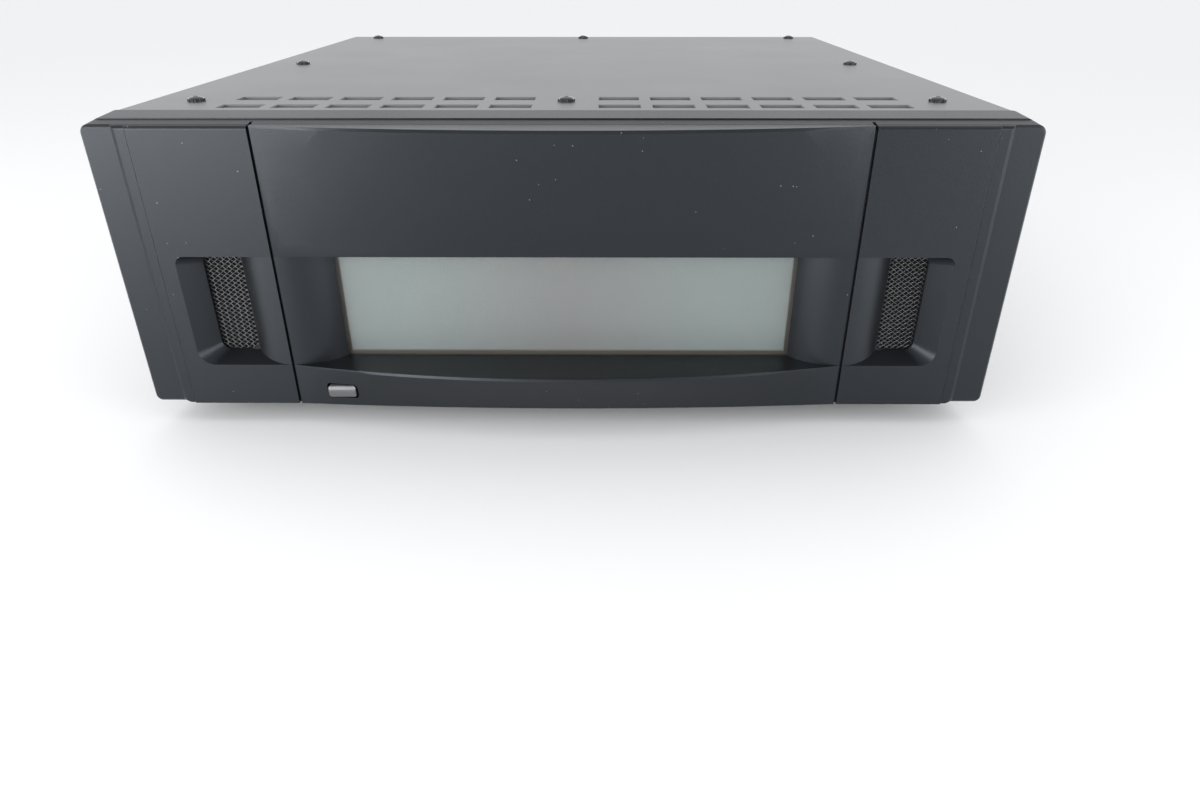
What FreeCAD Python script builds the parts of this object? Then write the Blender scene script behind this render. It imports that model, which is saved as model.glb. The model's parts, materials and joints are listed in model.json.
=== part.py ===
import FreeCAD, Part
import math
import os

# Desktop HF linear amplifier, one kilowatt class, fed from a separate power supply.
# Modelled with X to the right, Y to the rear and Z up, all in millimetres.
# While modelling, Y = 0 is the flat front of the two wings and Z = 0 the bottom edge of
# the moulded front; export moves the model so that it stands on its feet at the origin.

V = FreeCAD.Vector

# ---- clearances ----
seat_gap = 0.3            # between sheet-metal pieces that pass each other
run_gap = 0.05            # radial, shaft or stem in its bore
button_gap = 0.8          # all round the power button

# ---- moulded front ----
front_w = 408.0           # across the two side strips
front_h = 131.8           # bottom edge to the top of the front face
front_depth = 21.0        # wing face to the rear edge of the moulding
front_wall = 2.8
rim_w = 400.4             # across the rear edge of the moulding
rim_rise = 3.0            # rear edge above the top of the front face
rim_foot = 0.8            # rear edge above the bottom of the front face
tier_y = 8.4              # where the rear tier of the bezel meets the front tier
tier_rise = 1.2           # front tier above the face, at the step
tier_step = 0.5           # height of the step between the tiers
tier_inset = 1.6          # side of the front tier inside the strips, at the step
corner_top = 4.0
corner_bottom = 3.0
strip_w = 15.7            # set-back strip at each side
strip_setback = 2.2
strip_bevel = 2.0
edge_round = 1.9          # rounded top edge of wings and centre
strip_chamfer = 1.0
groove_x = 131.0          # inner side of the two vertical grooves
groove_w = 1.3
groove_depth = 2.0
groove_run = 6.0          # how far the grooves run back over the top
crease_w = 0.5            # fine crease behind the rounded top edge
crease_depth = 0.4
bow_top = 12.5            # centre section bowed forward at its top edge
bow_lip = 16.6            # at the lip below the display
bow_foot = 5.0            # at the bottom edge
lip_z = 21.0
lip_chamfer = 1.2
bow_chamfer = 1.3
brow_z = 74.8             # upper edge of the three recesses
cheek_depth = 11.5        # wing face to the display window
display_half_w = 108.0
grille_outer_x = 176.3
grille_depth = 9.5
grille_skin = 1.2
mesh_x = 159.3            # centre of a grille window
mesh_w = 18.0
mesh_z0 = 25.0
mesh_z1 = 73.0
mesh_corner = 4.4
recess_corner_low = 7.3
recess_corner_high = 4.0
recess_sill = 0.1         # grille recess reaches this far below the lip
boss_size = 8.0
boss_x = (62.0, 178.0)
boss_z = (12.0, 121.0)

# ---- power button and its switch ----
button_x = -108.7
button_z = 8.5
button_w = 13.6
button_h = 6.6
button_front = 4.5        # crown of the button, ahead of the wing face
button_barrel = 0.9       # rise of the rounded front
button_back = 2.2
button_travel = 2.5
button_corner = 1.2
stem_size = 4.0
stem_reach = 11.0
switch_w = 14.0
switch_h = 8.6
switch_front = 6.0

# ---- display ----
window_t = 2.0
window_lap = 2.3          # window overlaps the opening all round
lcd_frame_t = 2.5
lcd_lip_t = 0.5
lcd_border = 1.3          # frame seen inside the opening
lcd_t = 2.0
lcd_lap = 0.9
backlight_t = 4.0
board_t = 1.6
display_board_w = 236.0
display_board_h = 66.0

# ---- grille mesh ----
wire_t = 0.72
weave_x = 3.05            # diamond width
weave_z = 2.33            # diamond height
mesh_rim = 2.0
filter_lap = 1.5          # dust filter overlaps the window behind the wires

# ---- case ----
case_w = 399.0
case_top = 134.1
case_bottom = 1.0
case_rear = 420.1
cover_t = 1.2
cover_bend = 2.0
sheet_t = 1.5
rear_t = 2.0
rear_inset = 0.3
subpanel_y = 16.0
subpanel_w = 394.0
flange_side = 30.0
flange_foot = 15.0
tray_flange_h = 12.0
rear_tab = 13.0
divider_x = -12.0
divider_flange = 22.0
divider_foot = 15.0
deck_z = 50.0
deck_y0 = 60.0
deck_y1 = 400.0
deck_skirt = 12.0
rear_flange = 22.8

# ---- vents and cover screws ----
slot_w = 19.2
slot_l = 10.0
slot_pitch = 24.6
slot_first = 24.9         # centre of the slot next to the middle
slot_count = 6            # each side of the middle
slot_rows = (36.2, 59.9)
screen_t = 0.8
screen_margin = 4.0
screw_x = 174.4
screw_rows = ((51.2, (-1, 0, 1)), (206.6, (-1, 1)), (404.4, (-1, 0, 1)))
head_r = 4.1
head_h = 2.4

# ---- feet ----
foot_h = 12.0
foot_r = 13.0
foot_x = 165.0
foot_y = (62.0, 385.0)

# ---- heatsink, fans and power amplifier ----
sink_gap = 5.0            # heatsink to the side frame
sink_clear = 7.0          # heatsink to the centre divider
sink_y0 = 62.0
sink_y1 = 362.0
sink_base_z = 70.0
sink_base_t = 8.0
fin_t = 2.0
fin_count = 19
fin_clear = 12.0          # fins end this far above the case floor
leg_t = 3.0
fan_size = 92.0
fan_depth = 25.0
fan_bore_r = 43.5
fan_corner = 5.0
fan_z = 51.0
fan_hub_r = 19.0
fan_tip_gap = 1.6
fan_blades = 7
fan_blade_t = 1.4
fan_blade_w = 26.0
fan_pitch = 38.0          # degrees between a blade and the plane of rotation
fan_shaft_r = 2.0
fan_strut_w = 4.0
fan_plate_t = 3.0
grill_slot_h = 5.0
grill_slot_pitch = 8.5
grill_rib = 5.0
pa_gap = 6.0              # between the two rows of amplifier boards
pa_edge = 1.5             # boards inside the edge of the heatsink
pa_l = 138.0
pa_y = (137.0, 287.0)
standoff_h = 4.0
standoff_r = 2.5
transistor_w = 10.0
transistor_l = 24.0
transistor_t = 6.0
bar_w = 12.0
bar_t = 3.0
bar_z = 108.0
bar_gap = 10.0

# ---- circuit boards ----
post_inset = 4.0          # standoff centres inside the board's corners
divider_margin = 14.5     # boards to the centre divider
frame_margin = 13.0       # boards to the side frame
deck_margin = 6.0         # boards to the ends of the deck
board_gap = 8.0
combiner_l = 84.0
filter_l = 104.0
core_size = (32.0, 32.0, 16.0)
core_pitch = 50.0
core_count = 3
tank_size = (18.0, 12.0, 12.0)
tank_pitch = 28.0
tank_count = 6
coil_size = (24.0, 50.0, 18.0)
coil_pitch = 42.0
coil_count = 4
relay_size = (12.0, 26.0, 15.0)
relay_pitch = 22.0
relay_count = 8
tuner_coil_r = 15.0
tuner_coil_l = 84.0
tuner_coil_y = 40.0       # coil's axis behind the tuner board's front edge
socket_size = (30.0, 14.0, 3.0)
control_y = 72.0
control_l = 178.0
control_parts = ((46.0, 48.0, 26.0, 26.0, 3.0), (106.0, 58.0, 18.0, 30.0, 3.0),
                 (66.0, 128.0, 40.0, 16.0, 10.0), (136.0, 138.0, 20.0, 20.0, 8.0))
chip_w = 24.0
chip_h = 16.0
chip_t = 2.4
chip_pitch = 60.0

# ---- rear connectors ----
coax_r = 7.94
coax_l = 13.0
coax_flange = 25.4
coax_flange_t = 2.5
coax_bore_r = 6.3
coax_recess = 9.0
antenna_x = (40.0, 90.0, 140.0)
antenna_z = 102.0
input_x = 40.0
input_z = 60.0
jack_x = (80.0, 98.0)
jack_z = 60.0
jack_r = 4.15
jack_l = 9.0
jack_plate_t = 2.0
jack_margin = 9.0
jack_body_w = 30.0
jack_body_h = 12.0
data_x = 140.0
data_z = 60.0
data_w = 30.0
data_h = 9.0
data_slant = 1.6
data_l = 7.5
data_shell = 1.0
data_plate_w = 46.0
data_plate_h = 14.0
inlet_z = 112.0
inlet_w = 56.0
inlet_h = 20.0
inlet_l = 12.0
inlet_wall = 2.0
inlet_floor = 2.0
blade_count = 4
blade_t = 2.0
blade_h = 8.0
blade_pitch = 12.0
stud_x = 178.0
stud_z = 26.0
stud_r = 3.0              # over the crests of the thread
stud_core_r = 2.5         # at the root of the thread, where the wing nut runs
stud_free = 6.6           # free end beyond the wings
stud_l = 22.0
stud_nut_r = 6.0
stud_nut_t = 4.0
wing_hub_r = 5.2
wing_hub_l = 7.0
wing_span = 13.0
wing_t = 2.4
wing_h = 11.0

# ---- derived levels ----
half_front = front_w / 2
half_case = case_w / 2
cover_inside = half_case - cover_t
tray_half = cover_inside - seat_gap
frame_out = tray_half - sheet_t            # outer face of the side frames
frame_in = frame_out - sheet_t
ceiling = case_top - cover_t               # underside of the cover
floor_z = case_bottom + sheet_t            # top face of the bottom plate
flange_low = ceiling - sheet_t             # underside of the frame flanges
case_front = front_depth + seat_gap
panel_face = case_rear - rear_inset        # outer face of the rear panel
panel_back = panel_face - rear_t
subpanel_back = subpanel_y + sheet_t
subpanel_z0 = front_wall + rim_foot + seat_gap
subpanel_z1 = front_h + rim_rise - front_wall - 2 * seat_gap
sink_x0 = sink_gap - frame_in
sink_x1 = divider_x - sink_clear
tunnel_x = (sink_x0 + sink_x1) / 2         # middle of the air tunnel
fan_x = tunnel_x
inlet_x = tunnel_x
pa_w = (sink_x1 - sink_x0 - pa_gap) / 2 - pa_edge
pa_x = (tunnel_x - (pa_w + pa_gap) / 2, tunnel_x + (pa_w + pa_gap) / 2)
board_x0 = divider_x + sheet_t + divider_margin
board_x1 = frame_in - frame_margin
board_x = (board_x0 + board_x1) / 2
board_back = subpanel_y + backlight_t      # front face of the display board
divider_y0 = board_back + board_t + chip_t + 2.0
window_y = cheek_depth
lcd_frame_y = window_y + window_t
lcd_y = lcd_frame_y + lcd_lip_t
mesh_y = grille_depth + grille_skin
deck_top = deck_z + sheet_t
jack_mid_x = sum(jack_x) / 2

stand_z = foot_h - case_bottom             # model is raised by this at export
front_reach = bow_foot + (bow_lip - bow_foot) * (lip_z - lip_chamfer) / lip_z
shift_y = -(panel_face + stud_l - front_reach) / 2

nodes = {}


# ---- small helpers ----
def box(x0, x1, y0, y1, z0, z1):
    """A box between two corners."""
    return Part.makeBox(x1 - x0, y1 - y0, z1 - z0, V(x0, y0, z0))


def rod(x, y, z, radius, length, axis=V(0, 1, 0)):
    """A round bar from a point along an axis."""
    return Part.makeCylinder(radius, length, V(x, y, z), axis)


def hexagon(x, y, z, radius, height):
    """Upright hexagonal prism."""
    corners = [V(x + radius * math.cos(i * math.pi / 3), y + radius * math.sin(i * math.pi / 3), z)
               for i in range(7)]
    return Part.Face(Part.makePolygon(corners)).extrude(V(0, 0, height))


def fuse(shapes):
    """All the shapes as one solid, with coplanar faces merged."""
    first, rest = shapes[0], list(shapes[1:])
    return first.fuse(rest).removeSplitter() if rest else first


def mirrored(shape):
    """The same shape on the other side of the centre plane."""
    return shape.mirror(V(0, 0, 0), V(1, 0, 0))


def rounded_wire(x0, x1, z0, z1, low, high, y):
    """Upright rectangle at depth y with rounded lower and upper corners."""
    k = 1 - math.sqrt(0.5)
    runs = [
        (V(x0 + low, y, z0), V(x1 - low, y, z0)),
        (V(x1, y, z0 + low), V(x1, y, z1 - high)),
        (V(x1 - high, y, z1), V(x0 + high, y, z1)),
        (V(x0, y, z1 - high), V(x0, y, z0 + low)),
    ]
    turns = [
        V(x1 - low * k, y, z0 + low * k),
        V(x1 - high * k, y, z1 - high * k),
        V(x0 + high * k, y, z1 - high * k),
        V(x0 + low * k, y, z0 + low * k),
    ]
    edges = []
    for i, (start, end) in enumerate(runs):
        edges.append(Part.makeLine(start, end))
        edges.append(Part.Arc(end, turns[i], runs[(i + 1) % 4][0]).toShape())
    return Part.Wire(edges)


def rounded_block(x0, x1, y0, y1, z0, z1, low, high=None):
    """Upright rounded rectangle pushed from y0 to y1."""
    wire = rounded_wire(x0, x1, z0, z1, low, low if high is None else high, y0)
    return Part.Face(wire).extrude(V(0, y1 - y0, 0))


def taper(wire_a, wire_b):
    """Straight-sided solid between two outlines."""
    return Part.makeLoft([wire_a, wire_b], True, True)


def plan_block(points, z0, z1):
    """Plan outline pushed up; a triple of points in the list is an arc through its middle."""
    edges = []
    for run in points:
        run = [V(p[0], p[1], z0) for p in run]
        edges.append(Part.makeLine(*run) if len(run) == 2 else Part.Arc(*run).toShape())
    return Part.Face(Part.Wire(edges)).extrude(V(0, 0, z1 - z0))


def bow_wire(half, front, bow, back, z):
    """Plan outline of the centre section at height z, bowed towards -Y."""
    left, right = V(-half, front, z), V(half, front, z)
    bowed = Part.Arc(left, V(0, front - bow, z), right).toShape() if bow > 0 else None
    nose = bowed or Part.makeLine(left, right)
    return Part.Wire([
        nose,
        Part.makeLine(right, V(half, back, z)),
        Part.makeLine(V(half, back, z), V(-half, back, z)),
        Part.makeLine(V(-half, back, z), left),
    ])


def bow_block(half, front, back, levels):
    """Ruled block through bowed outlines, each given as (height, bow)."""
    return Part.makeLoft([bow_wire(half, front, bow, back, z) for z, bow in levels], True, True)


def spots(xs, ys):
    return [(x, y) for x in xs for y in ys]


# ---- moulded front ----
def bow_at(z):
    """How far the centre section stands forward at its middle, at height z."""
    if z >= brow_z:
        return bow_top * (z - brow_z) / (front_h - brow_z)
    return bow_foot + (bow_lip - bow_foot) * z / lip_z


def bezel_ring(y, half, low, high, inset=0.0):
    """Outline of the bezel at depth y."""
    return rounded_wire(-half + inset, half - inset, low + inset, high - inset,
                        max(corner_bottom - inset, 0.6), max(corner_top - inset, 0.6), y)


def bezel():
    """Two-tier outer shell with its front plate, and the hollows that open it from behind."""
    rim = (rim_w / 2, rim_foot, front_h + rim_rise)
    step_rear = (half_front - tier_inset - tier_step * 2, rim_foot / 2, front_h + tier_rise + tier_step)
    step_front = (half_front - tier_inset, rim_foot / 4, front_h + tier_rise)
    face = (half_front, 0.0, front_h)
    rear_tier = taper(bezel_ring(front_depth, *rim), bezel_ring(tier_y, *step_rear))
    front_tier = Part.makeLoft([
        bezel_ring(tier_y, *step_front),
        bezel_ring(strip_setback + strip_chamfer, *face),
        bezel_ring(strip_setback, *face, strip_chamfer),
    ], True, True)
    inset = half_front - strip_w - front_wall
    waist = bezel_ring(tier_y, *step_rear, front_wall)
    hollow = [
        taper(bezel_ring(front_depth, *rim, front_wall), waist),
        taper(waist, bezel_ring(strip_setback + front_wall, *face, front_wall)),
        box(-inset, inset, front_wall, tier_y, front_wall, front_h - front_wall),
    ]
    return rear_tier.fuse(front_tier), hollow


def wing_plate():
    """Flat plate of both wings, rounded along its top and bevelled back to the side strips."""
    half, r = half_front - strip_w, edge_round
    k = r * (1 - math.sqrt(0.5))
    x, back, top = -half - strip_bevel, front_wall, front_h
    slab = Part.Face(Part.Wire([
        Part.makeLine(V(x, back, 0), V(x, 0, 0)),
        Part.makeLine(V(x, 0, 0), V(x, 0, top - r)),
        Part.Arc(V(x, 0, top - r), V(x, k, top - k), V(x, r, top)).toShape(),
        Part.makeLine(V(x, r, top), V(x, back, top)),
        Part.makeLine(V(x, back, top), V(x, back, 0)),
    ])).extrude(V(-2 * x, 0, 0))
    high = front_h + corner_top
    sides = taper(rounded_wire(-half - strip_bevel, half + strip_bevel, 0, high, 2.6, 1, strip_setback),
                  rounded_wire(-half, half, 0, high, 2.6, 1, 0))
    return slab.common(sides)


def bowed_centre():
    """Upper face and chin of the centre section, each with a bevelled edge."""
    z = front_h - bow_chamfer
    levels = [(brow_z, 0), (z, bow_at(z)), (front_h, bow_top - bow_chamfer)]
    upper = bow_block(groove_x, 0, front_wall, levels)
    z = lip_z - lip_chamfer
    levels = [(0, bow_foot), (z, bow_at(z)), (lip_z, bow_lip - lip_chamfer)]
    return upper, bow_block(groove_x, 0, front_wall, levels)


def cheek(run, depth, offset=0.0):
    """Plan arc from the groove to a recess floor: start, middle and end as seen from the groove.

    run is signed: negative towards the display, positive towards the grille.
    """
    span = abs(run)
    radius = (span ** 2 + depth ** 2) / (2 * depth)
    reach = math.asin(span / radius)
    if offset:
        reach = math.acos((radius - depth) / (radius - offset))
    sign = math.copysign(1.0, run)
    return [(groove_x + sign * (radius - offset) * math.sin(t), radius - (radius - offset) * math.cos(t))
            for t in (0.0, reach / 2, reach)]


def display_recess():
    """Opening in front of the display, with its curved cheeks."""
    near_side, middle, far_side = cheek(display_half_w - groove_x, cheek_depth)
    past = cheek_depth + 1
    outline = [
        ((-near_side[0], -1), (-near_side[0], 0)),
        ((-near_side[0], 0), (-middle[0], middle[1]), (-far_side[0], far_side[1])),
        ((-far_side[0], far_side[1]), (-far_side[0], past)),
        ((-far_side[0], past), (far_side[0], past)),
        ((far_side[0], past), far_side),
        (far_side, middle, near_side),
        (near_side, (near_side[0], -1)),
        ((near_side[0], -1), (-near_side[0], -1)),
    ]
    return plan_block(outline, lip_z, brow_z)


def grille_recess():
    """Sloping recess in front of one grille, right-hand side."""
    mouth = rounded_wire(groove_x - 20, grille_outer_x, lip_z - recess_sill, brow_z,
                         recess_corner_low, recess_corner_high, 0)
    seat = rounded_wire(groove_x - 20, mesh_x + mesh_w / 2, mesh_z0, mesh_z1,
                        mesh_corner, mesh_corner, grille_depth)
    funnel = taper(mouth, seat)
    near_side, middle, far_side = cheek(mesh_x - mesh_w / 2 - groove_x, grille_depth)
    outline = [
        (near_side, middle, far_side),
        (far_side, (grille_outer_x + 1, far_side[1])),
        ((grille_outer_x + 1, far_side[1]), (grille_outer_x + 1, near_side[1])),
        ((grille_outer_x + 1, near_side[1]), near_side),
    ]
    recess = funnel.common(plan_block(outline, 0, front_h))
    window = rounded_block(mesh_x - mesh_w / 2, mesh_x + mesh_w / 2, grille_depth - 0.5, mesh_y + 1,
                           mesh_z0, mesh_z1, mesh_corner)
    return recess, window


def post_relief():
    """Hollow behind the curved post between display and grille, right-hand side."""
    near_a, middle_a, far_a = cheek(display_half_w - groove_x, cheek_depth, front_wall)
    near_b, middle_b, far_b = cheek(mesh_x - mesh_w / 2 - groove_x, mesh_y, front_wall)
    past = cheek_depth + 1
    outline = [
        (far_a, middle_a, near_a),
        (near_b, middle_b, far_b),
        (far_b, (far_b[0], past)),
        ((far_b[0], past), (far_a[0], past)),
        ((far_a[0], past), far_a),
    ]
    return plan_block(outline, lip_z, brow_z)


def front_panel():
    shell, hollow = bezel()
    upper, chin = bowed_centre()
    shell = shell.fuse([wing_plate(), upper, chin]).cut(hollow)
    tray_z0, tray_z1 = lip_z - front_wall, brow_z + front_wall
    display_tray = box(-groove_x, groove_x, front_wall - 0.8, cheek_depth, tray_z0, tray_z1)
    grille_tray = box(groove_x, grille_outer_x + front_wall, front_wall - 0.8, mesh_y, tray_z0, tray_z1)
    r = boss_size / 2
    bosses = [box(x - r, x + r, front_wall - 0.8, subpanel_y, z - r, z + r)
              for x, z in spots(boss_x, boss_z)]
    bosses += [mirrored(b) for b in bosses]
    shell = shell.fuse([display_tray, grille_tray, mirrored(grille_tray)] + bosses)
    recess, window = grille_recess()
    relief = post_relief()
    groove = fuse([
        box(groove_x, groove_x + groove_w, -bow_lip, groove_depth, -1, front_h + rim_rise),
        box(groove_x, groove_x + groove_w, 0, groove_run, front_h - groove_depth, front_h + rim_rise),
    ])
    cuts = [display_recess(), recess, window, relief, groove]
    cuts += [mirrored(s) for s in (recess, window, relief, groove)]
    cuts += [crease(), mirrored(crease())]
    x, z = button_w / 2 + button_gap, button_h / 2 + button_gap
    cuts.append(rounded_block(button_x - x, button_x + x, -bow_lip, switch_front, button_z - z, button_z + z,
                              button_corner + button_gap))
    return shell.cut(cuts).removeSplitter()


def crease():
    """Fine crease behind the rounded top edge of the right-hand wing."""
    start = edge_round + 0.1
    return box(groove_x + groove_w, half_front - strip_w, start, start + crease_w,
               front_h - crease_depth, front_h + 1)


# ---- display ----
def display_parts():
    """Window, its frame, the liquid-crystal panel, the backlight and the board behind them."""
    x, z0, z1 = display_half_w, lip_z, brow_z
    lap = window_lap - seat_gap
    half = x + window_lap
    nodes["display_window"] = box(-half, half, window_y, lcd_frame_y, z0 - lap, z1 + lap)
    frame = box(-half, half, lcd_frame_y, lcd_frame_y + lcd_frame_t, z0 - lap, z1 + lap)
    half, border = x - lcd_border, lcd_border
    sight = box(-half, half, lcd_frame_y - 1, subpanel_y + 1, z0 + border, z1 - border)
    half, lap = x + lcd_lap, lcd_lap
    nest = box(-half, half, lcd_y, subpanel_y + 1, z0 - lap, z1 + lap)
    nodes["lcd_frame"] = frame.cut([sight, nest])
    lap = lcd_lap - seat_gap
    nodes["lcd_panel"] = box(-x - lap, x + lap, lcd_y, lcd_y + lcd_t, z0 - lap, z1 + lap)
    nodes["backlight"] = box(-x + 0.5, x - 0.5, subpanel_y, board_back, z0 + 0.5, z1 - 0.5)
    mid = (z0 + z1) / 2
    w, h = display_board_w / 2, display_board_h / 2
    rear = board_back + board_t
    pieces = [box(-w, w, board_back, rear, mid - h, mid + h)]
    for px, pz in spots((post_inset - w, w - post_inset), (mid - h + post_inset, mid + h - post_inset)):
        pieces.append(box(px - standoff_r, px + standoff_r, subpanel_back, board_back,
                          pz - standoff_r, pz + standoff_r))
    for px in (-chip_pitch, 0, chip_pitch):
        pieces.append(box(px - chip_w / 2, px + chip_w / 2, rear, rear + chip_t,
                          mid - chip_h / 2, mid + chip_h / 2))
    nodes["display_board"] = fuse(pieces)


# ---- power button ----
def power_parts():
    x0, x1 = button_x - button_w / 2, button_x + button_w / 2
    z0, z1 = button_z - button_h / 2, button_z + button_h / 2
    shoulder = -button_front + button_barrel
    side = [V(x0, button_back, z0), V(x0, shoulder, z0), V(x0, -button_front, button_z),
            V(x0, shoulder, z1), V(x0, button_back, z1)]
    outline = Part.Wire([
        Part.makeLine(side[0], side[1]),
        Part.Arc(side[1], side[2], side[3]).toShape(),
        Part.makeLine(side[3], side[4]),
        Part.makeLine(side[4], side[0]),
    ])
    cap = Part.Face(outline).extrude(V(button_w, 0, 0))
    cap = cap.common(rounded_block(x0, x1, -button_front - 1, button_back + 1, z0, z1, button_corner))
    s = stem_size / 2
    stem = box(button_x - s, button_x + s, button_back - 0.5, stem_reach, button_z - s, button_z + s)
    nodes["power_button"] = fuse([cap, stem])
    w, h, b = switch_w / 2, switch_h / 2, s + run_gap
    body = box(button_x - w, button_x + w, switch_front, subpanel_y, button_z - h, button_z + h)
    bore = box(button_x - b, button_x + b, switch_front - 1, stem_reach + button_travel + 1,
               button_z - b, button_z + b)
    nodes["power_switch"] = body.cut(bore)


# ---- grille mesh ----
def mesh_wires(x0, x1, z0, z1, y, slope):
    """One layer of parallel wires across a window, at one slant."""
    wires = []
    cx, cz = (x0 + x1) / 2, (z0 + z1) / 2
    length = math.hypot(x1 - x0, z1 - z0)
    angle = math.degrees(math.atan2(weave_z, weave_x)) * slope
    count = int((z1 - z0 + (x1 - x0) * weave_z / weave_x) / weave_z / 2) + 1
    for i in range(-count, count + 1):
        wire = box(-length, length, y, y + wire_t, -wire_t / 2, wire_t / 2)
        wire.rotate(V(0, 0, 0), V(0, 1, 0), -angle)
        wire.translate(V(cx, 0, cz + i * weave_z))
        wires.append(wire)
    return wires


def grille_field(x, grow=0.0):
    """Space of the wires behind one grille window, or of the rim around it."""
    half, low, high = mesh_w / 2 + 0.3 + grow, mesh_z0 - 0.3 - grow, mesh_z1 + 0.3 + grow
    return box(x - half, x + half, mesh_y, mesh_y + 2 * wire_t, low, high)


def grille_rim(x):
    """Pressed rim that holds the wires."""
    return grille_field(x, mesh_rim).cut(grille_field(x))


def grille_mesh(x):
    """Woven wire panel: two crossed layers of wire."""
    field = grille_field(x)
    extent = field.BoundBox
    solids = []
    for layer, slope in enumerate((1, -1)):
        y = mesh_y + layer * wire_t
        for wire in mesh_wires(extent.XMin, extent.XMax, extent.ZMin, extent.ZMax, y, slope):
            solids += [s for s in wire.common(field).Solids if s.Volume > wire_t ** 3]
    return Part.makeCompound(solids)


def grille_filter(x):
    """Foam dust filter between the wires and the inner panel."""
    half = mesh_w / 2 + filter_lap
    return box(x - half, x + half, mesh_y + 2 * wire_t, subpanel_y, mesh_z0 - filter_lap, mesh_z1 + filter_lap)


# ---- sheet-metal case ----
def cover_profile(half, top, bend):
    """Upright channel outline, open at the bottom, with bent upper corners."""
    k = bend * (1 - math.sqrt(0.5))
    y = case_front
    left, right = V(-half, y, case_bottom), V(half, y, case_bottom)
    return Part.Wire([
        Part.makeLine(left, V(-half, y, top - bend)),
        Part.Arc(V(-half, y, top - bend), V(-half + k, y, top - k), V(-half + bend, y, top)).toShape(),
        Part.makeLine(V(-half + bend, y, top), V(half - bend, y, top)),
        Part.Arc(V(half - bend, y, top), V(half - k, y, top - k), V(half, y, top - bend)).toShape(),
        Part.makeLine(V(half, y, top - bend), right),
        Part.makeLine(right, left),
    ])


def top_cover():
    length = V(0, case_rear - case_front, 0)
    outer = Part.Face(cover_profile(half_case, case_top, cover_bend)).extrude(length)
    inner = Part.Face(cover_profile(cover_inside, ceiling, cover_bend - cover_t)).extrude(length)
    cuts = [inner]
    for y in slot_rows:
        for i in range(slot_count):
            x = slot_first + i * slot_pitch
            slot = box(x - slot_w / 2, x + slot_w / 2, y - slot_l / 2, y + slot_l / 2,
                       ceiling - 1, case_top + 1)
            cuts += [slot, mirrored(slot)]
    return outer.cut(cuts)


def bottom_plate():
    y0, y1 = case_front, panel_back
    plate = [box(-tray_half, tray_half, y0, y1, case_bottom, floor_z)]
    for side in (-1, 1):
        wall = box(frame_out, tray_half, y0, y1, case_bottom, floor_z + tray_flange_h)
        plate.append(wall if side > 0 else mirrored(wall))
    return fuse(plate)


def side_frame():
    """Right-hand frame: wall with turned-in flanges for the cover, the floor and the rear panel."""
    y0 = case_front + seat_gap
    flange_end = panel_back - rear_flange - seat_gap
    return fuse([
        box(frame_in, frame_out, subpanel_back, panel_back, floor_z + sheet_t, flange_low),
        box(frame_out - flange_side, frame_out, y0, flange_end, flange_low, ceiling),
        box(frame_out - flange_foot, frame_out, y0, panel_back, floor_z, floor_z + sheet_t),
        box(frame_in - rear_tab, frame_out, panel_back - sheet_t, panel_back, floor_z + sheet_t, flange_low),
    ])


def centre_divider():
    """Shield wall between the air tunnel and the filter compartment."""
    y0 = case_front + seat_gap
    x0, x1 = divider_x, divider_x + sheet_t
    flange_end = panel_back - rear_flange - seat_gap
    return fuse([
        box(x0, x1, divider_y0, panel_back, floor_z + sheet_t, flange_low),
        box(x0, x0 + divider_flange, y0, flange_end, flange_low, ceiling),
        box(x1 - divider_foot, x1, y0, panel_back, floor_z, floor_z + sheet_t),
    ])


def front_subpanel():
    half = subpanel_w / 2
    plate = box(-half, half, subpanel_y, subpanel_back, subpanel_z0, subpanel_z1)
    cuts = [box(-display_half_w, display_half_w, subpanel_y - 1, subpanel_back + 1, lip_z, brow_z)]
    for side in (-1, 1):
        x = mesh_x * side
        cuts.append(box(x - mesh_w / 2, x + mesh_w / 2, subpanel_y - 1, subpanel_back + 1, mesh_z0, mesh_z1))
    return plate.cut(cuts)


def rear_panel():
    plate = box(-tray_half, tray_half, panel_back, panel_face, case_bottom, flange_low)
    flange = box(-frame_out, frame_out, panel_back - rear_flange, panel_face, flange_low, ceiling)
    cuts = fan_grill(fan_x)
    for x, z, w, h in ((jack_mid_x, jack_z, jack_body_w, jack_body_h), (data_x, data_z, data_w, data_h),
                       (inlet_x, inlet_z, inlet_w - 2 * inlet_wall, inlet_h - 2 * inlet_wall)):
        cuts.append(box(x - w / 2, x + w / 2, panel_back - 1, panel_face + 1, z - h / 2, z + h / 2))
    return fuse([plate, flange]).cut(cuts)


def fan_grill(x):
    """Punched slots over one fan: chords of its bore, halved by an upright rib."""
    slots = []
    count = int((fan_bore_r - grill_slot_h) / grill_slot_pitch)
    for i in range(-count, count + 1):
        z = i * grill_slot_pitch
        reach = math.sqrt((fan_bore_r - 1) ** 2 - (abs(z) + grill_slot_h / 2) ** 2)
        for side in (-1, 1):
            x0, x1 = sorted((x + side * grill_rib / 2, x + side * reach))
            slots.append(box(x0, x1, panel_back - 1, panel_face + 1,
                             fan_z + z - grill_slot_h / 2, fan_z + z + grill_slot_h / 2))
    return slots


def rf_deck():
    """Shelf that carries the filter boards, turned down along both sides."""
    x0, x1 = divider_x + sheet_t, frame_in
    z0 = deck_z - deck_skirt
    return fuse([
        box(x0, x1, deck_y0, deck_y1, deck_z, deck_top),
        box(x0, x0 + sheet_t, deck_y0, deck_y1, z0, deck_z),
        box(x1 - sheet_t, x1, deck_y0, deck_y1, z0, deck_z),
    ])


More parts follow.
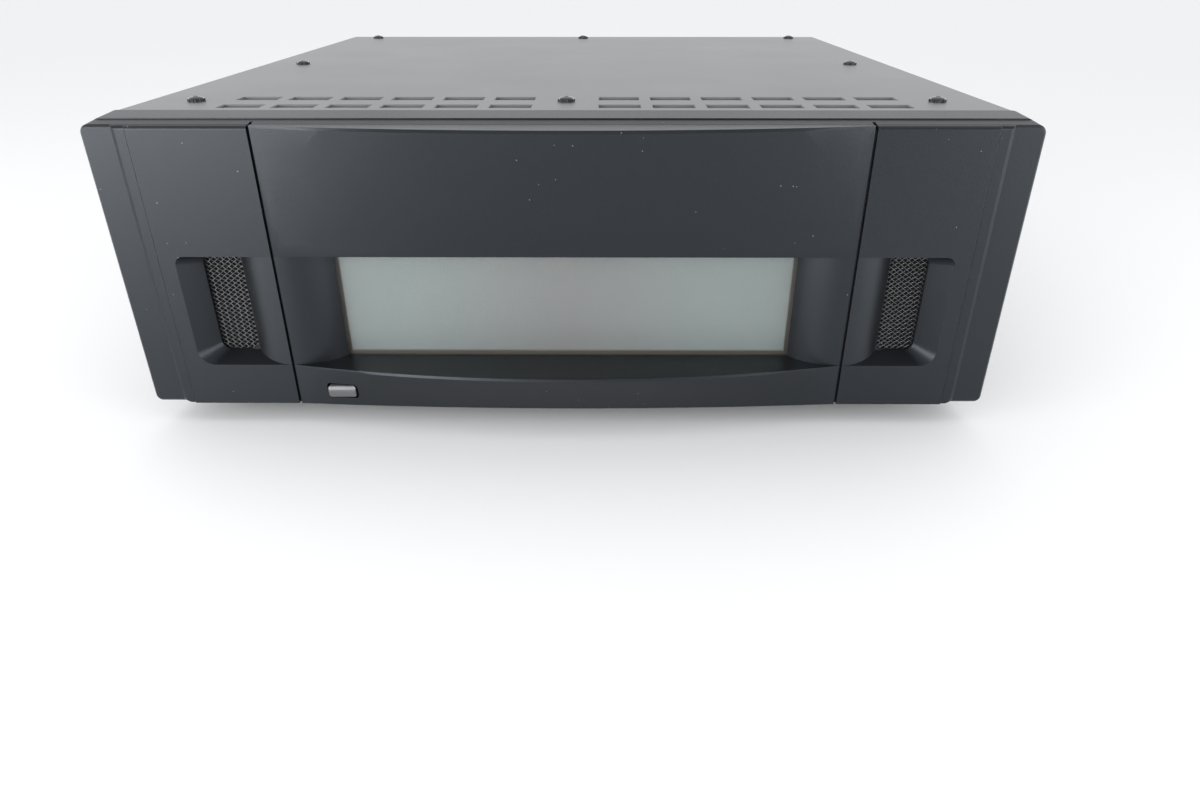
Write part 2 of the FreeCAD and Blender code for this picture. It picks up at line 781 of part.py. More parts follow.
def vent_screen():
    reach = slot_first + (slot_count - 1) * slot_pitch + slot_w / 2 + screen_margin
    y0 = slot_rows[0] - slot_l / 2 - screen_margin
    y1 = slot_rows[1] + slot_l / 2 + screen_margin
    sheet = box(-reach, reach, y0, y1, ceiling - screen_t, ceiling)
    frame_half = frame_out - flange_side - seat_gap
    notch = box(divider_x - seat_gap, divider_x + divider_flange + seat_gap, y0 - 1, y1 + 1,
                ceiling - 2, ceiling + 1)
    sheet = sheet.common(box(-frame_half, frame_half, y0, y1, ceiling - 2, ceiling + 1))
    return sheet.cut(notch)


# ---- cover screws and feet ----
def cover_screws():
    """Screw heads seated on the cover."""
    return Part.makeCompound([rod(screw_x * side, y, case_top, head_r, head_h, V(0, 0, 1))
                              for y, sides in screw_rows for side in sides])


def feet(y):
    """Pair of round rubber feet."""
    return Part.makeCompound([rod(x, y, case_bottom - foot_h, foot_r, foot_h, V(0, 0, 1))
                              for x in (-foot_x, foot_x)])


# ---- heatsink and power amplifier ----
def heatsink():
    """Extruded comb: thick base on top, fins hanging in the air tunnel, two legs on the floor flanges."""
    top = sink_base_z + sink_base_t
    fin_low = floor_z + fin_clear
    leg_low = floor_z + sheet_t
    pitch = (sink_x1 - sink_x0 - leg_t) / (fin_count + 1)
    points = [(sink_x0, top), (sink_x0, leg_low), (sink_x0 + leg_t, leg_low)]
    for i in range(1, fin_count + 1):
        x = sink_x0 + leg_t / 2 + i * pitch
        points += [(points[-1][0], sink_base_z), (x - fin_t / 2, sink_base_z), (x - fin_t / 2, fin_low),
                   (x + fin_t / 2, fin_low)]
    points += [(points[-1][0], sink_base_z), (sink_x1 - leg_t, sink_base_z), (sink_x1 - leg_t, leg_low),
               (sink_x1, leg_low), (sink_x1, top), (sink_x0, top)]
    wire = Part.makePolygon([V(x, sink_y0, z) for x, z in points])
    return Part.Face(wire).extrude(V(0, sink_y1 - sink_y0, 0))


def board(x0, x1, y0, y1, z):
    """Circuit board on four standoffs that stand at height z; returns the pieces and its top level."""
    low = z + standoff_h
    pieces = [box(x0, x1, y0, y1, low, low + board_t)]
    for x, y in spots((x0 + post_inset, x1 - post_inset), (y0 + post_inset, y1 - post_inset)):
        pieces.append(hexagon(x, y, z, standoff_r, standoff_h))
    return pieces, low + board_t


def block(x, y, z, size):
    """Upright block centred on a point of the board it stands on."""
    w, l, h = size
    return box(x - w / 2, x + w / 2, y - l / 2, y + l / 2, z, z + h)


def row_of(count, pitch):
    """Places along a board, evenly spaced about its middle."""
    return [board_x + (i - (count - 1) / 2) * pitch for i in range(count)]


def power_amplifier():
    sink_top = sink_base_z + sink_base_t
    nodes["heatsink"] = heatsink()
    chips = []
    for n, (x, y) in enumerate(spots(pa_x, pa_y)):
        pieces, top = board(x - pa_w / 2, x + pa_w / 2, y - pa_l / 2, y + pa_l / 2, sink_top)
        for dy in (-48, 48):
            pieces.append(box(x - 14, x + 14, y + dy - 11, y + dy + 11, top, top + 14))
        for dx in (-28, 28):
            pieces.append(box(x + dx - 5, x + dx + 5, y - 12, y + 12, top, top + 8))
        windows = []
        for dx in (-12, 12):
            w, l = transistor_w / 2, transistor_l / 2
            chips.append(box(x + dx - w, x + dx + w, y - l, y + l, sink_top, sink_top + transistor_t))
            w, l = w + seat_gap * 2, l + seat_gap * 2
            windows.append(box(x + dx - w, x + dx + w, y - l, y + l, sink_top, top + 1))
        nodes["pa_board_%d" % (n + 1)] = fuse(pieces).cut(windows)
    nodes["pa_transistors"] = Part.makeCompound(chips)
    bars = []
    board_top = sink_top + standoff_h + board_t
    for side in (-1, 1):
        x0 = inlet_x + side * (bar_w + bar_gap) / 2 - bar_w / 2
        bar = [box(x0, x0 + bar_w, pa_y[0] - 30, panel_back - inlet_floor, bar_z, bar_z + bar_t)]
        for y in pa_y:
            reach = pa_x[0 if side < 0 else 1]
            edge = reach - side * pa_w / 2 - side * 3
            tap = sorted((edge, x0 + bar_w / 2))
            bar.append(box(tap[0], tap[1], y - 4, y + 4, bar_z, bar_z + bar_t))
            foot_x0 = sorted((edge, edge + side * bar_t))
            bar.append(box(foot_x0[0], foot_x0[1], y - 4, y + 4, board_top, bar_z + bar_t))
        bars.append(fuse(bar))
    nodes["bus_bars"] = Part.makeCompound(bars)


# ---- filter compartment ----
def filter_parts():
    """Output combiner, filter and tuner along the deck, and the control board under it."""
    y0 = deck_y0 + deck_margin
    y1 = y0 + combiner_l
    pieces, top = board(board_x0, board_x1, y0, y1, deck_top)
    pieces += [twin_core(x, (y0 + y1) / 2, top, core_size) for x in row_of(core_count, core_pitch)]
    nodes["output_combiner"] = fuse(pieces)
    y0, y1 = y1 + board_gap, y1 + board_gap + filter_l
    pieces, top = board(board_x0, board_x1, y0, y1, deck_top)
    edge = post_inset / 2 + tank_size[1] / 2
    for x, y in spots(row_of(tank_count, tank_pitch), (y0 + edge + 4, y1 - edge - 4)):
        pieces.append(block(x, y, top, tank_size))
    nodes["filter_board"] = fuse(pieces)
    nodes["filter_coils"] = Part.makeCompound(
        [twin_core(x, (y0 + y1) / 2, top, coil_size) for x in row_of(coil_count, coil_pitch)])
    y0, y1 = y1 + board_gap, deck_y1 - deck_margin
    pieces, top = board(board_x0, board_x1, y0, y1, deck_top)
    pieces.append(block(board_x0 + socket_size[0], y0 + socket_size[1], top, socket_size))
    nodes["tuner_board"] = fuse(pieces)
    nodes["tuner_coil"] = rod(board_x - tuner_coil_l / 4, y0 + tuner_coil_y, top + tuner_coil_r,
                              tuner_coil_r, tuner_coil_l, V(1, 0, 0))
    y = y1 - board_gap - relay_size[1] / 2
    nodes["relays"] = Part.makeCompound(
        [block(x, y, top, relay_size) for x in row_of(relay_count, relay_pitch)])
    pieces, top = board(board_x0, board_x1 - board_gap, control_y, control_y + control_l, floor_z)
    for x, y, w, l, h in control_parts:
        pieces.append(block(board_x0 + x, control_y + y, top, (w, l, h)))
    nodes["control_board"] = fuse(pieces)


def twin_core(x, y, z, size):
    """Ferrite core lying on a board, with two square passages for its windings."""
    width, length, height = size
    w, mid = width / 8, z + height / 2
    passages = [box(x + dx - w, x + dx + w, y - length, y + length, mid - w, mid + w)
                for dx in (-2 * w, 2 * w)]
    return block(x, y, z, size).cut(passages)


# ---- fans ----
def fan_frame():
    """Square frame with a round duct and a motor plate on four struts at its rear."""
    x = fan_x
    half, c = fan_size / 2, fan_corner
    y0 = panel_back - fan_depth
    corners = [(-half, c - half), (-half, half - c), (c - half, half), (half - c, half),
               (half, half - c), (half, c - half), (half - c, -half), (c - half, -half)]
    outline = Part.makePolygon([V(x + dx, y0, fan_z + dz) for dx, dz in corners + corners[:1]])
    body = Part.Face(outline).extrude(V(0, fan_depth, 0))
    body = body.cut(rod(x, y0 - 1, fan_z, fan_bore_r, fan_depth + 2))
    plate_y = panel_back - fan_plate_t
    w = fan_strut_w / 2
    body = fuse([
        body,
        rod(x, plate_y, fan_z, fan_hub_r, fan_plate_t),
        box(x - fan_bore_r - 1, x + fan_bore_r + 1, plate_y, panel_back, fan_z - w, fan_z + w),
        box(x - w, x + w, plate_y, panel_back, fan_z - fan_bore_r - 1, fan_z + fan_bore_r + 1),
    ])
    return body.cut(rod(x, plate_y - 1, fan_z, fan_shaft_r + run_gap, fan_plate_t + 2))


def fan_rotor():
    """Hub cup with pitched blades and the shaft that runs in the motor plate."""
    x = fan_x
    y0 = panel_back - fan_depth + 1.5
    y1 = panel_back - fan_plate_t - 1.0
    mid = (y0 + y1) / 2
    shaft = rod(x, y1 - 1, fan_z, fan_shaft_r, panel_back - seat_gap - y1 + 1)
    pieces = [rod(x, y0, fan_z, fan_hub_r, y1 - y0), shaft]
    for i in range(fan_blades):
        blade = box(x - fan_blade_w / 2, x + fan_blade_w / 2, mid - fan_blade_t / 2, mid + fan_blade_t / 2,
                    fan_z + fan_hub_r * 0.7, fan_z + fan_bore_r - fan_tip_gap)
        blade.rotate(V(x, mid, fan_z), V(0, 0, 1), fan_pitch)
        blade.rotate(V(x, mid, fan_z), V(0, 1, 0), i * 360.0 / fan_blades)
        pieces.append(blade)
    return fuse(pieces)


# ---- rear connectors ----
def coax_sockets(places):
    """Chassis coax sockets: square flange, threaded barrel, open mouth."""
    h = coax_flange / 2
    mouth = panel_face + coax_flange_t + coax_l
    sockets = []
    for x, z in places:
        flange = box(x - h, x + h, panel_face, panel_face + coax_flange_t, z - h, z + h)
        barrel = rod(x, panel_face, z, coax_r, mouth - panel_face)
        recess = rod(x, mouth - coax_recess, z, coax_bore_r, coax_recess + 1)
        sockets.append(fuse([flange, barrel]).cut(recess))
    return Part.makeCompound(sockets)


def jack_block():
    """Moulded block of phono jacks, its body let through the panel."""
    w, h, m = jack_body_w / 2 - seat_gap, jack_body_h / 2 - seat_gap, jack_margin
    pieces = [
        box(jack_mid_x - w, jack_mid_x + w, panel_back - 6, panel_face + 1, jack_z - h, jack_z + h),
        box(jack_x[0] - m, jack_x[-1] + m, panel_face, panel_face + jack_plate_t, jack_z - m, jack_z + m),
    ]
    pieces += [rod(x, panel_face, jack_z, jack_r, jack_plate_t + jack_l) for x in jack_x]
    return fuse(pieces)


def slanted_block(half_w, half_h, y0, y1):
    """D-shaped block at the data socket, wider at its top."""
    corners = [(-half_w, half_h), (half_w, half_h),
               (half_w - data_slant, -half_h), (data_slant - half_w, -half_h)]
    outline = Part.makePolygon([V(data_x + dx, y0, data_z + dz) for dx, dz in corners + corners[:1]])
    return Part.Face(outline).extrude(V(0, y1 - y0, 0))


def data_socket():
    """Multi-pin socket with a D-shaped shell on a flat plate."""
    w, h = data_w / 2 - seat_gap, data_h / 2 - seat_gap
    plate = box(data_x - data_plate_w / 2, data_x + data_plate_w / 2, panel_face, panel_face + 1.5,
                data_z - data_plate_h / 2, data_z + data_plate_h / 2)
    body = fuse([plate, slanted_block(w, h, panel_back - 8, panel_face + data_l)])
    return body.cut(slanted_block(w - data_shell, h - data_shell, panel_face + 2, panel_face + data_l + 1))


def dc_inlet():
    """Shrouded power inlet with flat contact blades."""
    w, h = inlet_w / 2, inlet_h / 2
    face = panel_face + inlet_l
    shroud = box(inlet_x - w, inlet_x + w, panel_face, face, inlet_z - h, inlet_z + h)
    w, h = w - inlet_wall, h - inlet_wall
    cavity = box(inlet_x - w, inlet_x + w, panel_face + inlet_floor, face + 1, inlet_z - h, inlet_z + h)
    w, h = w - seat_gap, h - seat_gap
    back = panel_back - inlet_floor
    pieces = [shroud.cut(cavity),
              box(inlet_x - w, inlet_x + w, back, panel_face + 1, inlet_z - h, inlet_z + h)]
    for i in range(blade_count):
        x = inlet_x + (i - (blade_count - 1) / 2) * blade_pitch
        pieces.append(box(x - blade_t / 2, x + blade_t / 2, panel_face + 1, face - 1.5,
                          inlet_z - blade_h / 2, inlet_z + blade_h / 2))
    return fuse(pieces)


def nut_outline(x, y, z, radius, depth):
    """Hexagonal nut whose axis runs to the rear."""
    corners = [V(x + radius * math.cos(i * math.pi / 3), y, z + radius * math.sin(i * math.pi / 3))
               for i in range(7)]
    return Part.Face(Part.makePolygon(corners)).extrude(V(0, depth, 0))


def ground_stud():
    """Stud held by a hexagonal nut on the outside of the rear panel.

    Under the wing nut it has the root radius of its thread, and at its free end the crest radius.
    """
    return fuse([
        rod(stud_x, panel_face, stud_z, stud_core_r, stud_l),
        rod(stud_x, panel_face + stud_l - stud_free, stud_z, stud_r, stud_free),
        nut_outline(stud_x, panel_face, stud_z, stud_nut_r, stud_nut_t),
    ])


def wing_nut():
    """Wing nut seated on the stud's nut."""
    seat = panel_face + stud_nut_t
    pieces = [rod(stud_x, seat, stud_z, wing_hub_r, wing_hub_l)]
    for side in (-1, 1):
        root, tip = stud_x + side * wing_hub_r * 0.5, stud_x + side * wing_span
        outline = [(root, 1), (tip - side * 3, 3), (tip, 7), (tip - side, wing_h),
                   (tip - side * 5, wing_h), (root, wing_hub_l - 1.5), (root, 1)]
        ear = Part.makePolygon([V(px, seat + py, stud_z - wing_t / 2) for px, py in outline])
        pieces.append(Part.Face(ear).extrude(V(0, 0, wing_t)))
    return fuse(pieces).cut(rod(stud_x, seat - 1, stud_z, stud_core_r + run_gap, wing_h + 4))


# ---- build ----
nodes["front_panel"] = front_panel()
display_parts()
power_parts()
for side, x in (("left", -mesh_x), ("right", mesh_x)):
    nodes["grille_mesh_" + side] = grille_mesh(x)
    nodes["grille_rim_" + side] = grille_rim(x)
    nodes["grille_filter_" + side] = grille_filter(x)
nodes["front_subpanel"] = front_subpanel()
nodes["top_cover"] = top_cover()
nodes["cover_screws"] = cover_screws()
nodes["vent_screen"] = vent_screen()
nodes["bottom_plate"] = bottom_plate()
nodes["side_frame_right"] = side_frame()
nodes["side_frame_left"] = mirrored(nodes["side_frame_right"])
nodes["centre_divider"] = centre_divider()
nodes["rear_panel"] = rear_panel()
nodes["rf_deck"] = rf_deck()
nodes["front_feet"] = feet(foot_y[0])
nodes["rear_feet"] = feet(foot_y[1])
power_amplifier()
filter_parts()
nodes["fan_frame"] = fan_frame()
nodes["fan_rotor"] = fan_rotor()
nodes["coax_sockets"] = coax_sockets([(x, antenna_z) for x in antenna_x] + [(input_x, input_z)])
nodes["jack_block"] = jack_block()
nodes["data_socket"] = data_socket()
nodes["dc_inlet"] = dc_inlet()
nodes["ground_stud"] = ground_stud()
nodes["wing_nut"] = wing_nut()

os.makedirs("parts", exist_ok=True)
for name, shape in nodes.items():
    shape = shape.copy()
    shape.translate(V(0, shift_y, stand_z))
    if not shape.isValid():
        print("not valid:", name)
    shape.exportStep("parts/%s.step" % name)
    extent = shape.BoundBox
    print("%-18s %7.1f x %6.1f x %6.1f  %3d solids" % (
        name, extent.XLength, extent.YLength, extent.ZLength, len(shape.Solids)))
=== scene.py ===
import json
import math
import random

import bmesh
import bpy
from mathutils import Matrix, Vector


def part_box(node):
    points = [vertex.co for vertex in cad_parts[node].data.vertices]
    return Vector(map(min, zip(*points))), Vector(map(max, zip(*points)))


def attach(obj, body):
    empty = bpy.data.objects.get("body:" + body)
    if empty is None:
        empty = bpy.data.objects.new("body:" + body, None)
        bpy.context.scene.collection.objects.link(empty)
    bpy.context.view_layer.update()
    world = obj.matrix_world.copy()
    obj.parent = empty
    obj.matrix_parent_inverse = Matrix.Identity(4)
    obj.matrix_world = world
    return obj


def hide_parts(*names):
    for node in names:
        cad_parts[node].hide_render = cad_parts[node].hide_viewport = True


# Desktop linear amplifier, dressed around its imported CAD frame. Metres throughout; mm is one millimetre.

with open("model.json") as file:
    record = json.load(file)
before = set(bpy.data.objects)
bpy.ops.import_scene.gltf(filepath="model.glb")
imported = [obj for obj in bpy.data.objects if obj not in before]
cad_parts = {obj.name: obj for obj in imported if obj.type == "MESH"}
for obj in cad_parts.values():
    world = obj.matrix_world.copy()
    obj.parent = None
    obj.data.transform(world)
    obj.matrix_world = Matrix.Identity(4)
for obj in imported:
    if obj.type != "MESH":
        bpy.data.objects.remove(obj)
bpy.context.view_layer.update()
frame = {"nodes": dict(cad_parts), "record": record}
nodes = frame["nodes"]
mountPlace = {mount["name"]: Vector(mount["pos_m"]) for mount in frame["record"]["mounts"]}
mm = 0.001
random.seed(7)
print("frame loaded:", len(nodes), "nodes")


# camera and studio

cameraSet = {
    "place": (17.54 * mm, -567.29 * mm, 203.52 * mm),
    "lens": 24.53,
    "sensor": 36.0,
    "near": 10 * mm,
    "pitchDown": 28.261,
    "turn": 0.244,
}


def addCamera():
    data = bpy.data.cameras.new("studioCamera")
    data.lens = cameraSet["lens"]
    data.sensor_width = cameraSet["sensor"]
    data.sensor_fit = "HORIZONTAL"
    data.clip_start = cameraSet["near"]
    camera = bpy.data.objects.new("studioCamera", data)
    camera.location = cameraSet["place"]
    camera.rotation_euler = (math.radians(90 - cameraSet["pitchDown"]), 0, math.radians(cameraSet["turn"]))
    bpy.context.scene.collection.objects.link(camera)
    bpy.context.scene.camera = camera


lightSet = {
    "leftBox": {"place": (-0.82, -0.94, 0.22), "aim": (0, -0.2, 0.07), "size": (1.2, 0.6), "watts": 19.0},
    "rightBox": {"place": (0.84, -0.90, 0.19), "aim": (0, -0.2, 0.07), "size": (0.5, 0.5), "watts": 3.8},
    "sideBox": {"place": (1.03, -0.57, 0.19), "aim": (0, -0.2, 0.07), "size": (0.5, 0.5), "watts": 4.2},
}


def addLights():
    for name, light in lightSet.items():
        data = bpy.data.lights.new(name, "AREA")
        data.shape = "RECTANGLE"
        data.size, data.size_y = light["size"]
        data.energy = light["watts"]
        lamp = bpy.data.objects.new(name, data)
        lamp.location = light["place"]
        lamp.rotation_euler = (Vector(light["aim"]) - lamp.location).to_track_quat("-Z", "Y").to_euler()
        bpy.context.scene.collection.objects.link(lamp)


worldSet = {
    "front": (0.46, 0.465, 0.47, 1),   # behind the camera the studio is a little darker
    "back": (0.98, 0.99, 1.0, 1),      # the pale backdrop
    "turnsFrom": -0.7,
    "turnsTo": 0.1,
    "strength": 1.29,
}


def addWorld():
    world = bpy.data.worlds.new("studioWorld")
    bpy.context.scene.world = world
    world.use_nodes = True
    tree = world.node_tree
    backdrop = tree.nodes["Background"]
    coords = tree.nodes.new("ShaderNodeTexCoord")
    split = tree.nodes.new("ShaderNodeSeparateXYZ")
    ramp = tree.nodes.new("ShaderNodeMapRange")
    ramp.interpolation_type = "SMOOTHSTEP"
    ramp.inputs["From Min"].default_value = worldSet["turnsFrom"]
    ramp.inputs["From Max"].default_value = worldSet["turnsTo"]
    mix = tree.nodes.new("ShaderNodeMix")
    mix.data_type = "RGBA"
    mix.inputs["A"].default_value = worldSet["front"]
    mix.inputs["B"].default_value = worldSet["back"]
    tree.links.new(coords.outputs["Generated"], split.inputs[0])
    tree.links.new(split.outputs["Y"], ramp.inputs["Value"])
    tree.links.new(ramp.outputs["Result"], mix.inputs["Factor"])
    tree.links.new(mix.outputs["Result"], backdrop.inputs["Color"])
    backdrop.inputs["Strength"].default_value = worldSet["strength"]


addCamera()
addLights()
addWorld()
bpy.context.scene.view_settings.view_transform = "Standard"
print("camera, lights and world placed")


# shared shader groups

def makeGroup(name, inputs, outputs):
    group = bpy.data.node_groups.new(name, "ShaderNodeTree")
    for label, kind, value in inputs:
        socket = group.interface.new_socket(label, in_out="INPUT", socket_type=kind)
        if value is not None:
            socket.default_value = value
    for label, kind in outputs:
        group.interface.new_socket(label, in_out="OUTPUT", socket_type=kind)
    return group, group.nodes.new("NodeGroupInput"), group.nodes.new("NodeGroupOutput")


def joinNodes(tree, *pairs):
    for source, target in pairs:
        tree.links.new(source, target)


def addMath(tree, operation, first, second):
    node = tree.nodes.new("ShaderNodeMath")
    node.operation = operation
    for socket, value in zip(node.inputs, (first, second)):
        if isinstance(value, (int, float)):
            socket.default_value = value
        else:
            tree.links.new(value, socket)
    return node.outputs[0]


def addMix(tree, factor, first, second):
    blend = tree.nodes.new("ShaderNodeMix")
    blend.data_type = "RGBA"
    for label, value in (("Factor", factor), ("A", first), ("B", second)):
        if isinstance(value, (tuple, float)):
            blend.inputs[label].default_value = value
        else:
            tree.links.new(value, blend.inputs[label])
    return blend.outputs["Result"]


def addSwing(tree, noise, spread):
    # a noise value, moved to lie half of spread either side of zero
    return addMath(tree, "MULTIPLY", addMath(tree, "SUBTRACT", noise, 0.5), spread)


grainSet = {"detail": 3.0, "softness": 0.6, "cellBlend": 0.6, "patchScale": 14.0, "fineShare": 0.6}


def grainGroup():
    # moulded or painted grain: a height, and a roughness that wanders round a middle value
    group, given, made = makeGroup(
        "surfaceGrain",
        [("Vector", "NodeSocketVector", None), ("Scale", "NodeSocketFloat", 900.0),
         ("Roughness", "NodeSocketFloat", 0.5), ("Spread", "NodeSocketFloat", 0.08)],
        [("Height", "NodeSocketFloat"), ("Roughness", "NodeSocketFloat")])
    fine = group.nodes.new("ShaderNodeTexNoise")
    fine.inputs["Detail"].default_value = grainSet["detail"]
    fine.inputs["Roughness"].default_value = grainSet["softness"]
    cells = group.nodes.new("ShaderNodeTexVoronoi")
    cells.feature = "SMOOTH_F1"
    cells.inputs["Smoothness"].default_value = grainSet["cellBlend"]
    wide = group.nodes.new("ShaderNodeTexNoise")
    wide.inputs["Scale"].default_value = grainSet["patchScale"]
    for texture in (fine, cells, wide):
        joinNodes(group, (given.outputs["Vector"], texture.inputs["Vector"]))
    for texture in (fine, cells):
        joinNodes(group, (given.outputs["Scale"], texture.inputs["Scale"]))
    fineHeight = addMath(group, "MULTIPLY", fine.outputs[0], grainSet["fineShare"])
    height = addMath(group, "ADD", fineHeight, cells.outputs["Distance"])
    wander = addSwing(group, wide.outputs[0], given.outputs["Spread"])
    speck = addSwing(group, fine.outputs[0], given.outputs["Spread"])
    rough = addMath(group, "ADD", given.outputs["Roughness"], addMath(group, "ADD", wander, speck))
    joinNodes(group, (height, made.inputs["Height"]), (rough, made.inputs["Roughness"]))
    return group


dustSet = {"patchScale": 9.0, "patchFrom": 0.52}


def dustGroup():
    # sparse pale specks, in loose patches
    group, given, made = makeGroup(
        "dustSpecks",
        [("Vector", "NodeSocketVector", None), ("Colour", "NodeSocketColor", (0.1, 0.1, 0.1, 1)),
         ("Dust", "NodeSocketColor", (0.35, 0.36, 0.38, 1)), ("Scale", "NodeSocketFloat", 160.0),
         ("Size", "NodeSocketFloat", 0.05), ("Amount", "NodeSocketFloat", 0.5)],
        [("Colour", "NodeSocketColor")])
    cells = group.nodes.new("ShaderNodeTexVoronoi")
    cloud = group.nodes.new("ShaderNodeTexNoise")
    cloud.inputs["Scale"].default_value = dustSet["patchScale"]
    joinNodes(group,
              (given.outputs["Scale"], cells.inputs["Scale"]),
              (given.outputs["Vector"], cells.inputs["Vector"]),
              (given.outputs["Vector"], cloud.inputs["Vector"]))
    pick = addMath(group, "LESS_THAN", cells.outputs["Distance"], given.outputs["Size"])
    patch = addMath(group, "GREATER_THAN", cloud.outputs[0], dustSet["patchFrom"])
    mask = addMath(group, "MULTIPLY", addMath(group, "MULTIPLY", pick, patch), given.outputs["Amount"])
    blend = addMix(group, mask, given.outputs["Colour"], given.outputs["Dust"])
    joinNodes(group, (blend, made.inputs["Colour"]))
    return group


streakSet = {"drawn": (1.0, 0.03, 1.0), "detail": 4.0}


def streakGroup():
    # drawn-out scratches along one axis, for plated, rolled or brushed metal
    group, given, made = makeGroup(
        "metalStreaks",
        [("Vector", "NodeSocketVector", None), ("Scale", "NodeSocketFloat", 220.0),
         ("Roughness", "NodeSocketFloat", 0.3), ("Spread", "NodeSocketFloat", 0.2)],
        [("Height", "NodeSocketFloat"), ("Roughness", "NodeSocketFloat")])
    stretch = group.nodes.new("ShaderNodeMapping")
    stretch.inputs["Scale"].default_value = streakSet["drawn"]
    noise = group.nodes.new("ShaderNodeTexNoise")
    noise.inputs["Detail"].default_value = streakSet["detail"]
    joinNodes(group,
              (given.outputs["Vector"], stretch.inputs["Vector"]),
              (stretch.outputs[0], noise.inputs["Vector"]),
              (given.outputs["Scale"], noise.inputs["Scale"]))
    rough = addMath(group, "ADD", given.outputs["Roughness"],
                    addSwing(group, noise.outputs[0], given.outputs["Spread"]))
    joinNodes(group, (noise.outputs[0], made.inputs["Height"]), (rough, made.inputs["Roughness"]))
    return group


surfaceGrain = grainGroup()
dustSpecks = dustGroup()
metalStreaks = streakGroup()


def startMaterial(name, colour, metallic=0.0, roughness=0.5):
    material = bpy.data.materials.new(name)
    material.use_nodes = True
    tree = material.node_tree
    shader = tree.nodes["Principled BSDF"]
    shader.inputs["Base Color"].default_value = (*colour, 1)
    shader.inputs["Metallic"].default_value = metallic
    shader.inputs["Roughness"].default_value = roughness
    coords = tree.nodes.new("ShaderNodeTexCoord")
    return material, tree, shader, coords.outputs["Object"]


def addBump(tree, shader, height, depth):
    bump = tree.nodes.new("ShaderNodeBump")
    bump.inputs["Strength"].default_value = 1.0
    bump.inputs["Distance"].default_value = depth
    joinNodes(tree, (height, bump.inputs["Height"]), (bump.outputs[0], shader.inputs["Normal"]))


def grainMaterial(name, colour, roughness, scale, depth, spread=0.08, metallic=0.0, gloss=0.5, tint=(1, 1, 1),
                  dust=None):
    material, tree, shader, place = startMaterial(name, colour, metallic)
    shader.inputs["Specular IOR Level"].default_value = gloss
    shader.inputs["Specular Tint"].default_value = (*tint, 1)
    grain = tree.nodes.new("ShaderNodeGroup")
    grain.node_tree = surfaceGrain
    grain.inputs["Scale"].default_value = scale
    grain.inputs["Roughness"].default_value = roughness
    grain.inputs["Spread"].default_value = spread
    joinNodes(tree, (place, grain.inputs["Vector"]), (grain.outputs["Roughness"], shader.inputs["Roughness"]))
    addBump(tree, shader, grain.outputs["Height"], depth * mm)
    if dust:
        dusting = tree.nodes.new("ShaderNodeGroup")
        dusting.node_tree = dustSpecks
        dusting.inputs["Colour"].default_value = (*colour, 1)
        for label, value in dust.items():
            dusting.inputs[label].default_value = value
        joinNodes(tree, (place, dusting.inputs["Vector"]),
                  (dusting.outputs["Colour"], shader.inputs["Base Color"]))
    return material


def streakMaterial(name, colour, roughness, scale, depth, spread=0.2):
    material, tree, shader, place = startMaterial(name, colour, 1.0)
    streaks = tree.nodes.new("ShaderNodeGroup")
    streaks.node_tree = metalStreaks
    streaks.inputs["Scale"].default_value = scale
    streaks.inputs["Roughness"].default_value = roughness
    streaks.inputs["Spread"].default_value = spread
    joinNodes(tree, (place, streaks.inputs["Vector"]),
              (streaks.outputs["Roughness"], shader.inputs["Roughness"]))
    addBump(tree, shader, streaks.outputs["Height"], depth * mm)
    return material


boardSet = {
    "Scale": 90.0,
    "Color1": (0.02, 0.10, 0.05, 1),
    "Color2": (0.025, 0.12, 0.055, 1),
    "Mortar": (0.05, 0.17, 0.08, 1),
    "Mortar Size": 0.03,
}


def boardMaterial():
    # solder mask with a fine grid of tracks showing through
    material, tree, shader, place = startMaterial("solderMask", (0.02, 0.09, 0.045), 0.0, 0.35)
    bricks = tree.nodes.new("ShaderNodeTexBrick")
    for label, value in boardSet.items():
        bricks.inputs[label].default_value = value
    joinNodes(tree, (place, bricks.inputs["Vector"]), (bricks.outputs["Color"], shader.inputs["Base Color"]))
    return material


lcdSet = {
    "cool": (0.195, 0.228, 0.221, 1),
    "warm": (0.184, 0.190, 0.188, 1),
    # edge: the brown of the border band, partly the glass edge's own tone and partly painted shade along the
    # frame
    "edge": (0.120, 0.108, 0.092, 1),
    "border": 3.3 * mm,
    "edgeShadeWidth": 1.1 * mm,
    "warmReach": 80 * mm,
}


